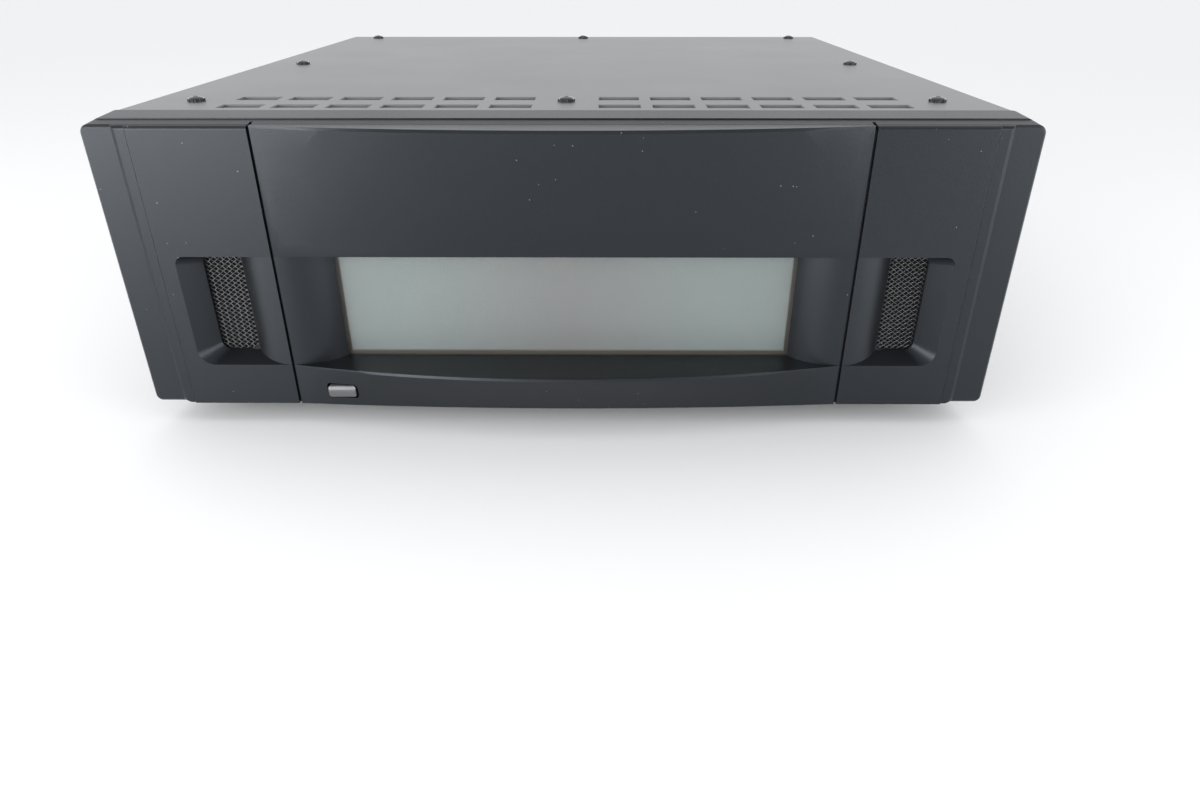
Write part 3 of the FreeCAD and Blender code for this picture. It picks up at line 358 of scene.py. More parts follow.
def lcdMaterial():
    # switched-off liquid crystal: grey-green, warmer in its middle, with a brown band along its border that
    # is partly the glass edge's own tone and partly painted shade where the frame meets it
    material, tree, shader, place = startMaterial("liquidCrystal", lcdSet["cool"][:3], 0.0, 0.40)
    low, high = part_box("lcd_frame")
    middle, half = (low + high) / 2, (high - low) / 2
    split = tree.nodes.new("ShaderNodeSeparateXYZ")
    joinNodes(tree, (place, split.inputs[0]))
    offX = addMath(tree, "ABSOLUTE", addMath(tree, "SUBTRACT", split.outputs["X"], middle.x), 0)
    offZ = addMath(tree, "ABSOLUTE", addMath(tree, "SUBTRACT", split.outputs["Z"], middle.z), 0)
    gapX = addMath(tree, "SUBTRACT", half.x - lcdSet["border"], offX)
    gapZ = addMath(tree, "SUBTRACT", half.z - lcdSet["border"], offZ)
    gap = addMath(tree, "MINIMUM", gapX, gapZ)
    edgeShadeFade = tree.nodes.new("ShaderNodeMapRange")
    edgeShadeFade.interpolation_type = "SMOOTHSTEP"
    edgeShadeFade.inputs["From Max"].default_value = lcdSet["edgeShadeWidth"]
    warmth = tree.nodes.new("ShaderNodeMapRange")
    warmth.interpolation_type = "SMOOTHSTEP"
    warmth.inputs["From Max"].default_value = lcdSet["warmReach"]
    joinNodes(tree, (gap, edgeShadeFade.inputs["Value"]), (offX, warmth.inputs["Value"]))
    field = addMix(tree, warmth.outputs["Result"], lcdSet["warm"], lcdSet["cool"])
    # the border band darkens the crystal near the frame: partly its own edge tone, partly painted shade
    toneWithEdgeShade = addMix(tree, edgeShadeFade.outputs["Result"], lcdSet["edge"], field)
    joinNodes(tree, (toneWithEdgeShade, shader.inputs["Base Color"]))
    return material


windowSet = {"colour": (0.06, 0.07, 0.07), "alpha": 0.06, "smearScale": 25.0, "roughness": 0.2, "smear": 0.1}


def windowMaterial():
    # clear acrylic sheet with a matt front
    material, tree, shader, place = startMaterial("acrylicWindow", windowSet["colour"])
    shader.inputs["Alpha"].default_value = windowSet["alpha"]
    smear = tree.nodes.new("ShaderNodeTexNoise")
    smear.inputs["Scale"].default_value = windowSet["smearScale"]
    cloudy = addMath(tree, "MULTIPLY", smear.outputs[0], windowSet["smear"])
    rough = addMath(tree, "ADD", cloudy, windowSet["roughness"])
    joinNodes(tree, (place, smear.inputs["Vector"]), (rough, shader.inputs["Roughness"]))
    return material


specks = {"Scale": 170.0, "Size": 0.035, "Amount": 0.7, "Dust": (0.36, 0.37, 0.39, 1)}
coolTint = (0.92, 0.965, 1.0)
finishes = {
    "moulding": grainMaterial("frontMoulding", (0.0060, 0.0068, 0.0080), 0.37, 2600, 0.032, 0.10,
                              gloss=0.4, tint=(0.84, 0.91, 1.0), dust=specks),
    "cover": grainMaterial("coverPaint", (0.062, 0.0645, 0.067), 0.40, 1900, 0.010, 0.06,
                           gloss=1.0, tint=coolTint),
    "rear_paint": grainMaterial("rearPaint", (0.026, 0.0275, 0.029), 0.40, 1700, 0.020, 0.08, tint=coolTint),
    "window": windowMaterial(),
    "lcd": lcdMaterial(),
    "white_plastic": grainMaterial("diffuserPlastic", (0.8, 0.8, 0.78), 0.5, 700, 0.03),
    "black_plastic": grainMaterial("blackPlastic", (0.012, 0.012, 0.013), 0.42, 1200, 0.03),
    "button": grainMaterial("buttonPlastic", (0.070, 0.073, 0.078), 0.26, 1500, 0.006, 0.04, gloss=0.7),
    "circuit": boardMaterial(),
    "mesh": grainMaterial("meshWire", (0.165, 0.168, 0.175), 0.38, 2500, 0.01, 0.1, metallic=1.0),
    "foam": grainMaterial("filterFoam", (0.010, 0.010, 0.010), 0.9, 700, 0.40, 0.05, gloss=0.1),
    "sheet": streakMaterial("platedSheet", (0.60, 0.60, 0.58), 0.34, 260, 0.03),
    "displayRim": grainMaterial("displayRim", (0.060, 0.054, 0.046), 0.5, 900, 0.01),
    "cutEdge": grainMaterial("cutSteel", (0.17, 0.165, 0.165), 0.50, 900, 0.01),
    "black_steel": grainMaterial("blackOxide", (0.045, 0.045, 0.047), 0.14, 2200, 0.01, 0.06,
                                 metallic=0.6, gloss=1.0),
    "screen": grainMaterial("ventScreen", (0.20, 0.195, 0.195), 0.7, 900, 0.30, 0.05),
    "rubber": grainMaterial("footRubber", (0.014, 0.014, 0.014), 0.72, 1400, 0.10),
    "alu": streakMaterial("extrudedAluminium", (0.70, 0.70, 0.71), 0.32, 300, 0.04),
    "copper": streakMaterial("bareCopper", (0.72, 0.35, 0.20), 0.28, 260, 0.03),
    "ferrite": grainMaterial("ferriteCore", (0.05, 0.047, 0.043), 0.62, 1500, 0.10),
    "relay": grainMaterial("relayCover", (0.62, 0.62, 0.58), 0.28, 900, 0.02),
    "nickel": streakMaterial("nickelPlate", (0.66, 0.64, 0.60), 0.20, 500, 0.01, 0.12),
    "brass": streakMaterial("platedBrass", (0.72, 0.68, 0.56), 0.24, 420, 0.01, 0.12),
    "ptfe": grainMaterial("whiteInsulator", (0.80, 0.79, 0.75), 0.45, 900, 0.02),
}
slotOfNode = {part["node"]: part["material_slot"] for part in frame["record"]["subparts"]}
print("materials made:", len(finishes))


# tools that several pieces use

weldReach = 0.002 * mm
flatLimit = math.radians(0.5)


def finishPiece(name, mesh, slot, body="amplifier", stands=(), finish=None):
    piece = bpy.data.objects.new(name, mesh)
    bpy.context.scene.collection.objects.link(piece)
    mesh.materials.clear()
    mesh.materials.append(finishes[finish or slot])
    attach(piece, body)
    if stands:
        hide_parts(*stands)
    return piece


def meshFrom(shape, name, sharpAt=35):
    # smooth faces, with the edges that turn further than sharpAt kept crisp
    limit = math.radians(sharpAt)
    for face in shape.faces:
        face.smooth = True
    for edge in shape.edges:
        edge.smooth = edge.is_manifold and edge.calc_face_angle(0) < limit
    mesh = bpy.data.meshes.new(name)
    shape.to_mesh(mesh)
    shape.free()
    return mesh


def mergedCopy(node):
    # a node's loose triangles as one welded shape, flat areas made whole
    shape = bmesh.new()
    shape.from_mesh(nodes[node].data)
    bmesh.ops.remove_doubles(shape, verts=shape.verts, dist=weldReach)
    bmesh.ops.dissolve_limit(shape, angle_limit=flatLimit, use_dissolve_boundaries=False,
                             verts=shape.verts, edges=shape.edges, delimit=set())
    return shape


def softenEdges(piece, width, steps=3, sharpAt=30):
    soften = piece.modifiers.new("soften", "BEVEL")
    soften.width = width * mm
    soften.segments = steps
    soften.limit_method = "ANGLE"
    soften.angle_limit = math.radians(sharpAt)
    soften.harden_normals = True
    soften.use_clamp_overlap = True
    return piece


def dressCopy(node, name, width, steps=3, sharpAt=30, body="amplifier", finish=None, shape=None):
    # the node's own shape with its sharp edges rounded
    mesh = meshFrom(shape or mergedCopy(node), name, sharpAt)
    piece = finishPiece(name, mesh, slotOfNode[node], body, (node,), finish)
    return softenEdges(piece, width, steps, sharpAt)


def turned(profile, centre, steps=48):
    # shape of revolution from (radius, distance) pairs in millimetres, about the line through centre
    # that runs rearwards
    shape = bmesh.new()
    verts = [shape.verts.new((centre[0] + radius * mm, centre[1] + along * mm, centre[2]))
             for radius, along in profile]
    edges = [shape.edges.new(pair) for pair in zip(verts, verts[1:])]
    bmesh.ops.spin(shape, geom=verts + edges, cent=centre, axis=(0, 1, 0), dvec=(0, 0, 0),
                   angle=2 * math.pi, steps=steps, use_merge=True)
    bmesh.ops.remove_doubles(shape, verts=shape.verts, dist=weldReach)
    bmesh.ops.recalc_face_normals(shape, faces=shape.faces)
    return shape


def blockShape(centre, size, rounding=0.0, steps=2):
    shape = bmesh.new()
    bmesh.ops.create_cube(shape, size=1.0)
    bmesh.ops.scale(shape, verts=shape.verts, vec=size)
    bmesh.ops.translate(shape, verts=shape.verts, vec=centre)
    if rounding:
        bmesh.ops.bevel(shape, geom=list(shape.edges), offset=rounding, offset_type="OFFSET", segments=steps,
                        profile=0.5, affect="EDGES", clamp_overlap=True, material=-1)
    return shape


def hexShape(seat, radius, depth, rounding):
    # six-sided nut on the line that runs rearwards from its seat
    shape = bmesh.new()
    bmesh.ops.create_cone(shape, cap_ends=True, segments=6, radius1=radius, radius2=radius, depth=depth)
    bmesh.ops.rotate(shape, verts=shape.verts, cent=(0, 0, 0), matrix=Matrix.Rotation(math.pi / 2, 3, "X"))
    bmesh.ops.rotate(shape, verts=shape.verts, cent=(0, 0, 0), matrix=Matrix.Rotation(math.pi / 6, 3, "Y"))
    bmesh.ops.translate(shape, verts=shape.verts, vec=seat + Vector((0, depth / 2, 0)))
    bmesh.ops.bevel(shape, geom=list(shape.edges), offset=rounding, offset_type="OFFSET", segments=2,
                    profile=0.5, affect="EDGES", clamp_overlap=True, material=-1)
    return shape


def joinShapes(shapes):
    whole = bmesh.new()
    for shape in shapes:
        part = bpy.data.meshes.new("part")
        shape.to_mesh(part)
        shape.free()
        whole.from_mesh(part)
        bpy.data.meshes.remove(part)
    return whole


def stampMesh(mesh, matrices):
    # one mesh set down at several places, as one shape
    whole = bmesh.new()
    for matrix in matrices:
        placed = mesh.copy()
        placed.transform(matrix)
        whole.from_mesh(placed)
        bpy.data.meshes.remove(placed)
    return whole


def cutMesh(mesh, cutter):
    # mesh with the cutter's shape taken out of it
    body = bpy.data.objects.new("cutBody", mesh)
    tool = bpy.data.objects.new("cutTool", meshFrom(cutter, "cutTool"))
    for piece in (body, tool):
        bpy.context.scene.collection.objects.link(piece)
    cut = body.modifiers.new("cut", "BOOLEAN")
    cut.operation = "DIFFERENCE"
    cut.object = tool
    graph = bpy.context.evaluated_depsgraph_get()
    done = bpy.data.meshes.new_from_object(body.evaluated_get(graph))
    for piece in (body, tool):
        bpy.data.objects.remove(piece)
    shape = bmesh.new()
    shape.from_mesh(done)
    bmesh.ops.dissolve_degenerate(shape, dist=weldReach, edges=shape.edges)
    shape.to_mesh(done)
    shape.free()
    return done


crossTaper = (0.45, 0.7)  # the cross recess narrows towards its floor


def screwMesh(sizes):
    # pan head with a cross recess, seated at the origin and pointing up
    radius, height, rim = sizes["radius"], sizes["height"], sizes["rim"]
    profile = [(0, 0), (radius, 0), (radius, -rim)]
    for step in range(1, 7):
        turn = step / 6 * math.pi / 2
        profile.append((radius * math.cos(turn), -rim - (height - rim) * math.sin(turn)))
    head = turned(profile, (0, 0, 0), 32)
    bmesh.ops.rotate(head, verts=head.verts, cent=(0, 0, 0), matrix=Matrix.Rotation(-math.pi / 2, 3, "X"))
    mesh = meshFrom(head, "screwHead", 40)
    for quarter in (0, math.pi / 2):
        size = Vector((sizes["reach"] * 2, sizes["width"], sizes["depth"] * 2)) * mm
        arm = blockShape(Vector((0, 0, height * mm)), size)
        for vert in arm.verts:
            if vert.co.z < height * mm:
                vert.co.x *= crossTaper[0]
                vert.co.y *= crossTaper[1]
        bmesh.ops.rotate(arm, verts=arm.verts, cent=(0, 0, 0), matrix=Matrix.Rotation(quarter, 3, "Z"))
        mesh = cutMesh(mesh, arm)
    return mesh


def turnedPlaces(spots, towards):
    # each fastener is turned a little differently, as they end up when tightened
    facing = Vector(towards).to_track_quat("Z", "Y").to_matrix().to_4x4()
    return [Matrix.Translation(spot) @ facing @ Matrix.Rotation(random.uniform(0, math.pi), 4, "Z")
            for spot in spots]


def setFasteners(name, mesh, spots, towards, stands=()):
    shape = stampMesh(mesh, turnedPlaces(spots, towards))
    return finishPiece(name, meshFrom(shape, name, 40), "black_steel", stands=stands)


def clusterCentres(node, spread):
    # centres of the separate solids in a node, seen from above
    clusters = []
    for vert in nodes[node].data.vertices:
        flat = Vector((vert.co.x, vert.co.y, 0))
        for first, points in clusters:
            if (flat - first).length < spread:
                points.append(flat)
                break
        else:
            clusters.append((flat, [flat]))
    centres = []
    for first, points in clusters:
        lows = [min(point[axis] for point in points) for axis in (0, 1)]
        highs = [max(point[axis] for point in points) for axis in (0, 1)]
        centres.append(Vector(((lows[0] + highs[0]) / 2, (lows[1] + highs[1]) / 2, 0)))
    return centres


# front moulding and what shows through it, with their edges rounded

buttonSet = {"rounding": 0.9, "steps": 4, "slim": (0.955, 0.91)}  # slim leaves a shadow gap all round the cap


def dressButton():
    button = dressCopy("power_button", "powerButton", buttonSet["rounding"], buttonSet["steps"],
                       body="power_button")
    low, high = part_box("power_button")
    middle = (low + high) / 2
    for vert in button.data.vertices:
        vert.co.x = middle.x + (vert.co.x - middle.x) * buttonSet["slim"][0]
        vert.co.z = middle.z + (vert.co.z - middle.z) * buttonSet["slim"][1]


frontSet = {
    "rounding": 0.45,
    "sharpAt": 24,
    "stripFace": 2.2 * mm,     # the side strips lie this far behind the wings
    "stepFrom": 183.4 * mm,
    "stepTo": 184.2 * mm,
    "wingEdge": 188.3 * mm,
    "stripInside": 192.3 * mm,
    "stepDepth": 0.9 * mm,
}


def dressFront():
    # the wings go down to the side strips in two small steps
    shape = mergedCopy("front_panel")
    for side in (-1, 1):
        for across in (frontSet["stepFrom"], frontSet["stepTo"]):
            bmesh.ops.bisect_plane(shape, geom=list(shape.verts) + list(shape.edges) + list(shape.faces),
                                   plane_co=(side * across, 0, 0), plane_no=(1, 0, 0))
    strip = min(vert.co.y for vert in shape.verts if abs(vert.co.x) > frontSet["stripInside"])
    for vert in shape.verts:
        across = abs(vert.co.x)
        if frontSet["stepTo"] - 0.01 * mm < across < frontSet["wingEdge"] + 0.1 * mm and vert.co.y < strip:
            vert.co.y += frontSet["stepDepth"] * (strip - vert.co.y) / frontSet["stripFace"]
    moulding = dressCopy("front_panel", "frontMoulding", frontSet["rounding"], sharpAt=frontSet["sharpAt"],
                         shape=shape)
    moulding.modifiers["soften"].harden_normals = False  # the bow would show its triangles
    even = moulding.modifiers.new("evenNormals", "WEIGHTED_NORMAL")
    even.keep_sharp = True


dressFront()
dressButton()
dressCopy("lcd_frame", "displayFrame", 0.2, steps=2, finish="displayRim")
print("front dressed")


# woven grilles

weave = {
    "across": 3.05 * mm,       # diamond width
    "upright": 2.33 * mm,      # diamond height
    "wire": 0.33 * mm,
    "lift": 0.19 * mm,         # how far a wire rises over each crossing
    "sides": 8,
    "stepsPerCrossing": 4,
}


def weaveWire(length, crossing, lift):
    # one wavy wire along X, centred on the origin
    steps = 2 * int(length / crossing / 2) * weave["stepsPerCrossing"]
    run = steps * crossing / weave["stepsPerCrossing"]
    shape = bmesh.new()
    ring = bmesh.ops.create_circle(shape, segments=weave["sides"], radius=weave["wire"] / 2, cap_ends=False)
    bmesh.ops.rotate(shape, verts=ring["verts"], cent=(0, 0, 0), matrix=Matrix.Rotation(math.pi / 2, 3, "Y"))
    bmesh.ops.translate(shape, verts=ring["verts"], vec=(-run / 2, 0, 0))
    bmesh.ops.spin(shape, geom=list(shape.verts) + list(shape.edges), cent=(0, 0, 0), axis=(0, 0, 1),
                   dvec=(run / steps, 0, 0), angle=0, steps=steps)
    bmesh.ops.recalc_face_normals(shape, faces=shape.faces)
    for vert in shape.verts:
        vert.co.y += lift * math.cos(math.pi * vert.co.x / crossing)
    return shape


def weaveGrille(node, name):
    low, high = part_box(node)
    centre = (low + high) / 2
    tilt = math.atan2(weave["upright"], weave["across"])
    crossing = math.hypot(weave["across"], weave["upright"]) / 2
    reach = (high - low).length
    half = int(reach / crossing / 2) + 1
    layers = []
    for side in (1, -1):
        step = Vector((math.cos(tilt), 0, -side * math.sin(tilt))) * crossing
        for i in range(-half, half + 1):
            wire = weaveWire(reach, crossing, weave["lift"] * side * (-1) ** i)
            bmesh.ops.rotate(wire, verts=wire.verts, cent=(0, 0, 0),
                             matrix=Matrix.Rotation(-side * tilt, 3, "Y"))
            bmesh.ops.translate(wire, verts=wire.verts, vec=centre + step * i)
            layers.append(wire)
    cloth = joinShapes(layers)
    for point, normal in ((low, (-1, 0, 0)), (high, (1, 0, 0)), (low, (0, 0, -1)), (high, (0, 0, 1))):
        bmesh.ops.bisect_plane(cloth, geom=list(cloth.verts) + list(cloth.edges) + list(cloth.faces),
                               plane_co=point, plane_no=normal, clear_outer=True)
    bmesh.ops.holes_fill(cloth, edges=[edge for edge in cloth.edges if edge.is_boundary],
                         sides=weave["sides"] + 2)
    return finishPiece(name, meshFrom(cloth, name, 50), slotOfNode[node], stands=(node,))


weaveGrille("grille_mesh_left", "wovenGrilleLeft")
weaveGrille("grille_mesh_right", "wovenGrilleRight")
print("grilles woven")


# case

coverSet = {"rounding": 0.3, "side": 3 * mm, "end": 1 * mm, "sheet": 2 * mm, "uprightBelow": 0.1}


def dressCover():
    # painted sheet, bare where the slots were punched through it
    cover = dressCopy("top_cover", "topCover", coverSet["rounding"], steps=2)
    low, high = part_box("top_cover")
    cover.data.materials.append(finishes["cutEdge"])
    for face in cover.data.polygons:
        centre = face.center
        across = low.x + coverSet["side"] < centre.x < high.x - coverSet["side"]
        along = low.y + coverSet["end"] < centre.y < high.y - coverSet["end"]
        upright = abs(face.normal.z) < coverSet["uprightBelow"]
        if across and along and upright and centre.z > high.z - coverSet["sheet"]:
            face.material_index = 1


dressCover()
dressCopy("bottom_plate", "bottomPlate", 0.25, steps=2)
dressCopy("rear_panel", "rearPanel", 0.2, steps=2)
print("case dressed")


# cross-head screws with toothed washers on the cover

coverScrew = {"radius": 3.35, "height": 2.3, "rim": 1.1, "reach": 1.9, "width": 0.9, "depth": 1.0}
toothedWasher = {"radius": 4.05 * mm, "root": 3.65 * mm, "thickness": 1.3 * mm, "teeth": 14}
coverScrewSpread = 12 * mm


def washerMesh():
    shape = bmesh.new()
    ring = bmesh.ops.create_circle(shape, cap_ends=True, segments=toothedWasher["teeth"] * 4,
                                   radius=toothedWasher["radius"])
    for i, vert in enumerate(ring["verts"]):
        if i % 4 < 2:
            vert.co *= toothedWasher["root"] / toothedWasher["radius"]
    raised = bmesh.ops.extrude_face_region(shape, geom=list(shape.faces))
    bmesh.ops.translate(shape, vec=(0, 0, toothedWasher["thickness"]),
                        verts=[part for part in raised["geom"] if isinstance(part, bmesh.types.BMVert)])
    bmesh.ops.recalc_face_normals(shape, faces=shape.faces)
    return meshFrom(shape, "washer", 30)


def coverScrews():
    seat = Vector((0, 0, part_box("cover_screws")[0].z))
    spots = [centre + seat for centre in clusterCentres("cover_screws", coverScrewSpread)]
    setFasteners("coverScrewHeads", screwMesh(coverScrew), spots, (0, 0, 1), ("cover_screws",))
    setFasteners("coverScrewWashers", washerMesh(), spots, (0, 0, 1))


coverScrews()
print("cover screws set")


# feet

footSet = {"well": 5.5, "wellDepth": 6.0, "wellRim": 0.4, "edge": 1.6, "draft": 0.5, "spread": 40 * mm}
footScrew = {"radius": 4.2, "height": 2.6, "rim": 1.2, "reach": 2.0, "width": 1.0, "depth": 1.2}


def rubberFeet(node, name):
    # turned upright and seated under the bottom plate, a screw sunk in each
    low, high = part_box(node)
    radius, height = (high.y - low.y) / 2 / mm, (high.z - low.z) / mm
    edge, well, deep = footSet["edge"], footSet["well"], footSet["wellDepth"]
    shoulder = radius - edge - footSet["draft"]
    profile = [(0, height - deep), (well, height - deep), (well, height - footSet["wellRim"]),
               (well + 0.5, height), (shoulder, height)]
    for step in range(1, 6):
        turn = step / 5 * math.pi / 2
        profile.append((shoulder + edge * math.sin(turn), height - edge + edge * math.cos(turn)))
    profile += [(radius, 1.0), (radius, 0), (0, 0)]
    foot = turned(profile, (0, 0, 0), 56)
    bmesh.ops.rotate(foot, verts=foot.verts, cent=(0, 0, 0), matrix=Matrix.Rotation(-math.pi / 2, 3, "X"))
    top = Vector((0, 0, high.z))
    spots = [centre + top for centre in clusterCentres(node, footSet["spread"])]
    placed = stampMesh(meshFrom(foot, name, 40), [Matrix.Translation(spot) for spot in spots])
    finishPiece(name, meshFrom(placed, name, 40), "rubber", stands=(node,))
    seats = [spot - Vector((0, 0, height - deep)) * mm for spot in spots]
    setFasteners(name + "Screws", screwMesh(footScrew), seats, (0, 0, -1))


rubberFeet("front_feet", "frontFeet")
rubberFeet("rear_feet", "rearFeet")
print("feet set")


# rear connectors

coaxSet = {"crest": 7.94, "root": 7.42, "pitch": 1.06, "length": 13.0, "bore": 6.3, "recess": 9.0,
           "flange": 25.4, "flangeDepth": 2.5, "screwPitch": 18.2}
coaxScrew = {"radius": 2.6, "height": 1.5, "rim": 0.7, "reach": 1.3, "width": 0.6, "depth": 0.8}


def coaxSockets():
    crest, root, bore, flat = coaxSet["crest"], coaxSet["root"], coaxSet["bore"], coaxSet["flangeDepth"]
    top = flat + coaxSet["length"]
    floor = top - coaxSet["recess"]
    barrel = [(root, flat - 0.3), (root, flat + 1.2)]
    along = flat + 1.4
    while along < top - 1.0:
        barrel += [(crest, along + 0.30), (crest, along + 0.45), (root, along + 0.78), (root, along + 0.98)]
        along += coaxSet["pitch"]
    barrel += [(crest - 0.5, top - 0.1), (crest - 0.8, top), (bore + 0.3, top), (bore, top - 0.3),
               (bore, flat - 0.3), barrel[0]]
    insulator = [(0, floor - 0.5), (bore, floor - 0.5), (bore, floor + 1.2), (4.6, floor + 1.4),
                 (4.2, floor + 6.2), (3.9, floor + 6.5), (2.3, floor + 6.5), (2.3, floor), (0, floor)]
    contact = [(0, floor + 1), (1.9, floor + 1), (1.9, floor + 7.6), (2.05, floor + 7.8), (2.3, floor + 7.6),
               (2.3, floor), (0, floor)]
    flanges, barrels, insulators, contacts, spots = [], [], [], [], []
    for name in ("antenna_1", "antenna_2", "antenna_3", "exciter_input"):
        seat = mountPlace[name] - Vector((0, coaxSet["length"] / 2 + flat, 0)) * mm
        flanges.append(blockShape(seat + Vector((0, flat / 2, 0)) * mm,
                                  Vector((coaxSet["flange"], flat, coaxSet["flange"])) * mm, 0.6 * mm, 3))
        barrels.append(turned(barrel, seat, 44))
        insulators.append(turned(insulator, seat, 36))
        contacts.append(turned(contact, seat, 24))
        reach = coaxSet["screwPitch"] / 2
        spots += [seat + Vector((x * reach, flat, z * reach)) * mm for x in (-1, 1) for z in (-1, 1)]
    for name, shapes, slot, finish, sharpAt in (
            ("coaxFlanges", flanges, "nickel", None, 40),
            ("coaxBarrels", barrels, "nickel", None, 30),
            ("coaxInsulators", insulators, "white_plastic", "ptfe", 35),
            ("coaxContacts", contacts, "brass", None, 35)):
        mesh = meshFrom(joinShapes(shapes), name, sharpAt)
        finishPiece(name, mesh, slot, stands=("coax_sockets",), finish=finish)
    setFasteners("coaxScrews", screwMesh(coaxScrew), spots, (0, 1, 0))


coaxSockets()


jackSet = {"outer": 4.15, "inner": 3.45, "length": 9.0, "hole": 1.65, "plate": 2.0, "body": (29.2, 11.2)}


def phonoJacks():
    low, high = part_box("jack_block")
    middle = (low + high) / 2
    face = mountPlace["phono_1"].y - jackSet["length"] / 2 * mm
    plate = jackSet["plate"] * mm
    wide, tall = jackSet["body"]
    body = joinShapes([
        blockShape(Vector((middle.x, face - plate / 2, middle.z)),
                   Vector((high.x - low.x, plate, high.z - low.z)), 0.5 * mm, 3),
        blockShape(Vector((middle.x, (low.y + face - plate) / 2, middle.z)),
                   Vector((wide * mm, face - plate - low.y, tall * mm)), 0.3 * mm),
    ])
    finishPiece("jackBody", meshFrom(body, "jackBody", 40), "black_plastic", stands=("jack_block",))
    end, outer, inner, hole = jackSet["length"], jackSet["outer"], jackSet["inner"], jackSet["hole"]
    sleeve = [(outer + 1.1, -0.2), (outer + 1.1, 0.5), (outer + 0.8, 0.8), (outer, 0.8), (outer, end - 0.4),
              (outer - 0.3, end), (inner + 0.1, end), (inner, end - 0.2), (inner, -0.2), (outer + 1.1, -0.2)]
    insert = [(0, 1.0), (inner, 1.0), (inner, end - 3.0), (inner - 0.5, end - 1.6), (hole + 0.2, end - 1.5),
              (hole, end - 1.8), (hole, 2.0), (0, 2.0)]
    sleeves, inserts = [], []
    for name in ("phono_1", "phono_2"):
        seat = Vector((mountPlace[name].x, face, mountPlace[name].z))
        sleeves.append(turned(sleeve, seat, 40))
        inserts.append(turned(insert, seat, 32))
    finishPiece("jackSleeves", meshFrom(joinShapes(sleeves), "jackSleeves"), "nickel", stands=("jack_block",))
    finishPiece("jackInserts", meshFrom(joinShapes(inserts), "jackInserts"), "black_plastic")


phonoJacks()


dataSet = {"insert": (27.2, 6.5), "slant": 0.88, "insertDrop": 1.6, "plateDrop": 6.0, "pitch": 2.77,
           "rows": ((8, 1.42), (7, -1.42)), "pin": 0.7, "pinBore": 0.62, "nutOffset": 18.6, "nut": (2.7, 4.2)}


def dataSocket():
    dressCopy("data_socket", "dataShell", 0.35, 2)
    low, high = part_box("data_socket")
    middle = (low + high) / 2
    face = high.y - dataSet["insertDrop"] * mm
    plateFace = high.y - dataSet["plateDrop"] * mm
    wide, tall = dataSet["insert"]
    insert = blockShape(Vector((middle.x, (face + plateFace) / 2, middle.z)),
                        Vector((wide * mm, face - plateFace, tall * mm)), 0.4 * mm)
    for vert in insert.verts:
        if vert.co.z < middle.z:
            vert.co.x = middle.x + (vert.co.x - middle.x) * dataSet["slant"]
    finishPiece("dataInsert", meshFrom(insert, "dataInsert", 40), "black_plastic")
    outer, bore = dataSet["pin"], dataSet["pin"] * dataSet["pinBore"]
    pin = [(0, -1.0), (bore, -1.0), (bore, 0.05), (outer, 0.05), (outer, -1.4), (0, -1.4)]
    pins = []
    for count, rise in dataSet["rows"]:
        for i in range(count):
            x = middle.x + (i - (count - 1) / 2) * dataSet["pitch"] * mm
            pins.append(turned(pin, Vector((x, face, middle.z + rise * mm)), 12))
    radius, depth = dataSet["nut"]
    nuts = [hexShape(Vector((middle.x + side * dataSet["nutOffset"] * mm, plateFace, middle.z)),
                     radius * mm, depth * mm, 0.25 * mm) for side in (-1, 1)]
    finishPiece("dataPins", meshFrom(joinShapes(pins), "dataPins"), "brass")
    finishPiece("dataJackNuts", meshFrom(joinShapes(nuts), "dataJackNuts", 25), "nickel")


dataSocket()


inletSet = {"depth": 12.0, "wall": 2.0, "floor": 2.0, "rounding": 0.5,
            "pitch": 12.0, "count": 4, "blade": (2.0, 10.5, 8.0), "drop": 1.5}


def powerInlet():
    low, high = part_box("dc_inlet")
    middle = (low + high) / 2
    depth = inletSet["depth"] * mm
    shroud = blockShape(Vector((middle.x, high.y - depth / 2, middle.z)),
                        Vector((high.x - low.x, depth, high.z - low.z)))
    mouth = [face for face in shroud.faces if face.normal.y > 0.9]
    bmesh.ops.inset_individual(shroud, faces=mouth, thickness=inletSet["wall"] * mm)
    sunk = bmesh.ops.extrude_face_region(shroud, geom=mouth)
    bmesh.ops.translate(shroud, vec=(0, inletSet["floor"] * mm - depth, 0),
                        verts=[part for part in sunk["geom"] if isinstance(part, bmesh.types.BMVert)])
    bmesh.ops.delete(shroud, geom=[face for face in mouth if face.is_valid], context="FACES_ONLY")
    bmesh.ops.recalc_face_normals(shroud, faces=shroud.faces)
    mesh = meshFrom(shroud, "inletShroud", 40)
    softenEdges(finishPiece("inletShroud", mesh, "black_plastic", stands=("dc_inlet",)), inletSet["rounding"])
    size = Vector(inletSet["blade"]) * mm
    y = high.y - inletSet["drop"] * mm - size.y / 2
    blades = []
    for i in range(inletSet["count"]):
        x = middle.x + (i - (inletSet["count"] - 1) / 2) * inletSet["pitch"] * mm
        blades.append(blockShape(Vector((x, y, middle.z)), size, 0.45 * mm, 3))
    finishPiece("inletBlades", meshFrom(joinShapes(blades), "inletBlades", 40), "brass", stands=("dc_inlet",))


powerInlet()


studSet = {"crest": 3.0, "root": 2.5, "free": 6.6, "pitch": 1.0, "nut": 6.0, "nutDepth": 4.0}


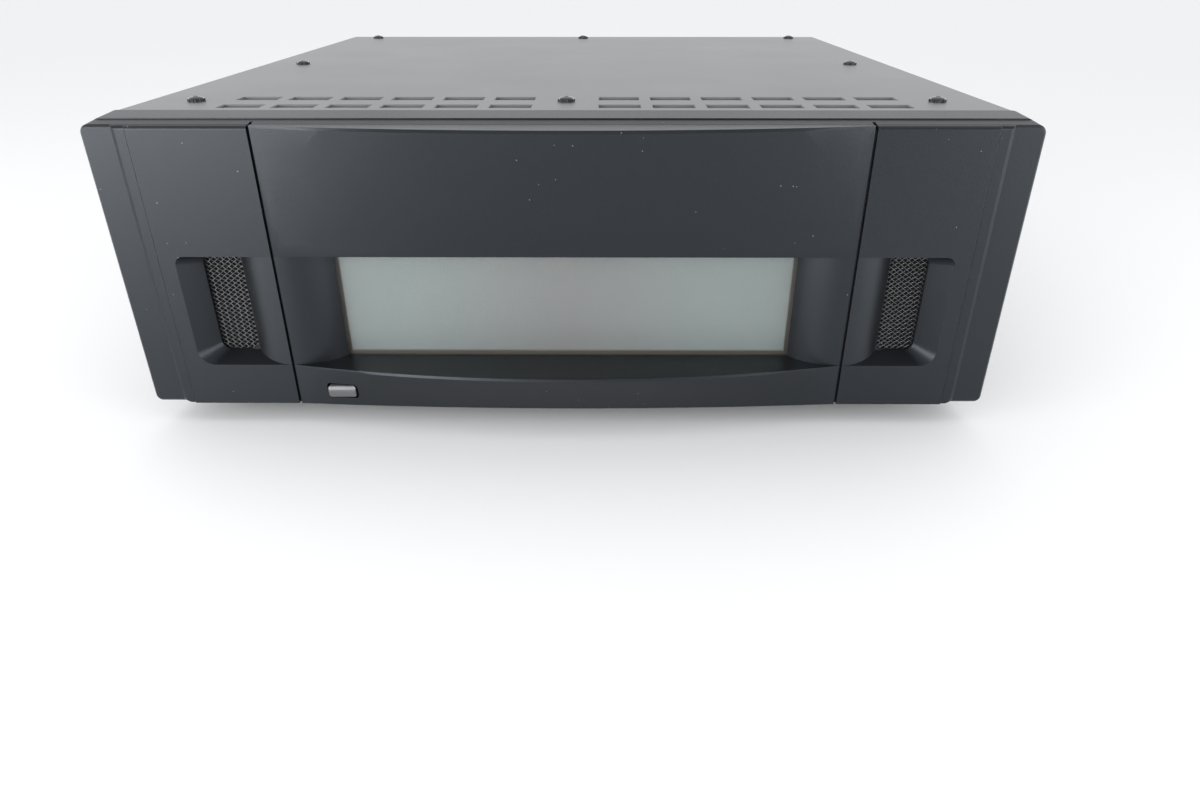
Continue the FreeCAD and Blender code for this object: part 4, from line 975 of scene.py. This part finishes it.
def groundTerminal():
    low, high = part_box("ground_stud")
    seat = Vector((mountPlace["ground_stud"].x, low.y, mountPlace["ground_stud"].z))
    length = (high.y - low.y) / mm
    profile = [(0, 3.0), (studSet["root"], 3.0)]
    along = 3.6
    while along < length - 1.4:
        reach = studSet["crest"] if along > length - studSet["free"] else studSet["root"]
        profile += [(reach, along + 0.35), (reach, along + 0.5), (studSet["root"] - 0.1, along + 0.8),
                    (studSet["root"] - 0.1, along + 0.95)]
        along += studSet["pitch"]
    profile += [(studSet["root"], length - 0.5), (studSet["root"] - 0.5, length), (0, length)]
    nut = hexShape(seat, studSet["nut"] * mm, studSet["nutDepth"] * mm, 0.35 * mm)
    stud = joinShapes([turned(profile, seat, 40), nut])
    finishPiece("groundStud", meshFrom(stud, "groundStud", 28), "nickel", stands=("ground_stud",))
    dressCopy("wing_nut", "wingNut", 0.55, body="wing_nut")


groundTerminal()
print("rear connectors made")


# cooling fan

fanSet = {"blades": 7, "hub": 19.0, "hubDepth": 19.5, "tip": 41.6, "rootPitch": 50.0, "tipPitch": 30.0,
          "rootChord": 22.0, "tipChord": 30.0, "camber": 0.09, "sweep": 0.22, "thickness": 1.3, "shaft": 2.0,
          "screwSpan": 82.5}


def fanBlade(middle, turn):
    # twisted, cambered sheet from the hub to just short of the duct
    shape = bmesh.new()
    grid = bmesh.ops.create_grid(shape, x_segments=8, y_segments=6, size=0.5)
    for vert in grid["verts"]:
        across, out = vert.co.x, vert.co.y + 0.5
        radius = fanSet["hub"] - 1.0 + out * (fanSet["tip"] - fanSet["hub"] + 1.0)
        pitch = math.radians(fanSet["rootPitch"] + out * (fanSet["tipPitch"] - fanSet["rootPitch"]))
        chord = fanSet["rootChord"] + out * (fanSet["tipChord"] - fanSet["rootChord"])
        bulge = fanSet["camber"] * chord * (1 - 4 * across * across)
        along = chord * across * math.sin(pitch) + bulge * math.cos(pitch)
        sideways = chord * across * math.cos(pitch) - bulge * math.sin(pitch)
        angle = turn + sideways / radius + fanSet["sweep"] * out * out
        vert.co = Vector((radius * math.sin(angle), -along, radius * math.cos(angle))) * mm + middle
    bmesh.ops.recalc_face_normals(shape, faces=shape.faces)
    bmesh.ops.solidify(shape, geom=list(shape.faces), thickness=fanSet["thickness"] * mm)
    bmesh.ops.recalc_face_normals(shape, faces=shape.faces)
    return shape


def coolingFan():
    dressCopy("fan_frame", "fanFrame", 0.5, 2, 32)
    low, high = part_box("fan_frame")
    middle = (low + high) / 2
    seat = Vector((middle.x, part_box("fan_rotor")[0].y, middle.z))
    deep, hub, shaft = fanSet["hubDepth"], fanSet["hub"], fanSet["shaft"]
    cup = turned([(0, 0.8), (14.5, 0.8), (17.0, 0.2), (hub - 0.6, 0.9), (hub, 2.0), (hub, deep - 0.4),
                  (hub - 0.4, deep), (0, deep)], seat, 56)
    pin = turned([(0, deep - 0.5), (shaft, deep - 0.5), (shaft, deep + 3.0), (shaft - 0.3, deep + 3.4),
                  (0, deep + 3.4)], seat, 24)
    centre = seat + Vector((0, deep / 2, 0)) * mm
    blades = [fanBlade(centre, i * 2 * math.pi / fanSet["blades"]) for i in range(fanSet["blades"])]
    finishPiece("fanRotor", meshFrom(joinShapes([cup, pin] + blades), "fanRotor", 40), "black_plastic",
                "fan_rotor", ("fan_rotor",))


coolingFan()
print("fan made")


# screws of the rear panel, the fan and the bottom plate

panelScrew = {"radius": 3.1, "height": 1.8, "rim": 0.8, "reach": 1.6, "width": 0.8, "depth": 0.9}
panelScrewPlaces = {
    "inset": 7.5,
    "heights": (24.0, 72.0, 122.0),
    "floorInset": 9.0,
    "alongFloor": (0.05, 0.35, 0.65, 0.95),
}


def panelScrews():
    head = screwMesh(panelScrew)
    low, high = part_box("rear_panel")
    across = high.x - panelScrewPlaces["inset"] * mm
    spots = [Vector((side * across, high.y, level * mm))
             for side in (-1, 1) for level in panelScrewPlaces["heights"]]
    fanLow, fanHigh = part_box("fan_frame")
    middle = (fanLow + fanHigh) / 2
    half = fanSet["screwSpan"] / 2 * mm
    spots += [Vector((middle.x + x * half, high.y, middle.z + z * half)) for x in (-1, 1) for z in (-1, 1)]
    setFasteners("rearScrews", head, spots, (0, 1, 0))
    low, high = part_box("bottom_plate")
    across = high.x - panelScrewPlaces["floorInset"] * mm
    spots = [Vector((side * across, low.y + part * (high.y - low.y), low.z))
             for side in (-1, 1) for part in panelScrewPlaces["alongFloor"]]
    setFasteners("floorScrews", head, spots, (0, 0, -1))


panelScrews()
print("panel screws set")


# everything else keeps its CAD shape and gets its finish

for node, piece in nodes.items():
    if not piece.hide_render:
        piece.data.materials.clear()
        piece.data.materials.append(finishes[slotOfNode[node]])
print("remaining nodes painted")


# floor

floorSet = {"reach": 6.0, "colour": (0.785, 0.79, 0.795)}


def addFloor():
    shape = bmesh.new()
    bmesh.ops.create_grid(shape, x_segments=1, y_segments=1, size=floorSet["reach"])
    floor = bpy.data.objects.new("studioFloor", meshFrom(shape, "studioFloor"))
    bpy.context.scene.collection.objects.link(floor)
    material, tree, shader, place = startMaterial("studioFloor", floorSet["colour"], 0.0, 0.7)
    floor.data.materials.append(material)


addFloor()
print("floor laid")
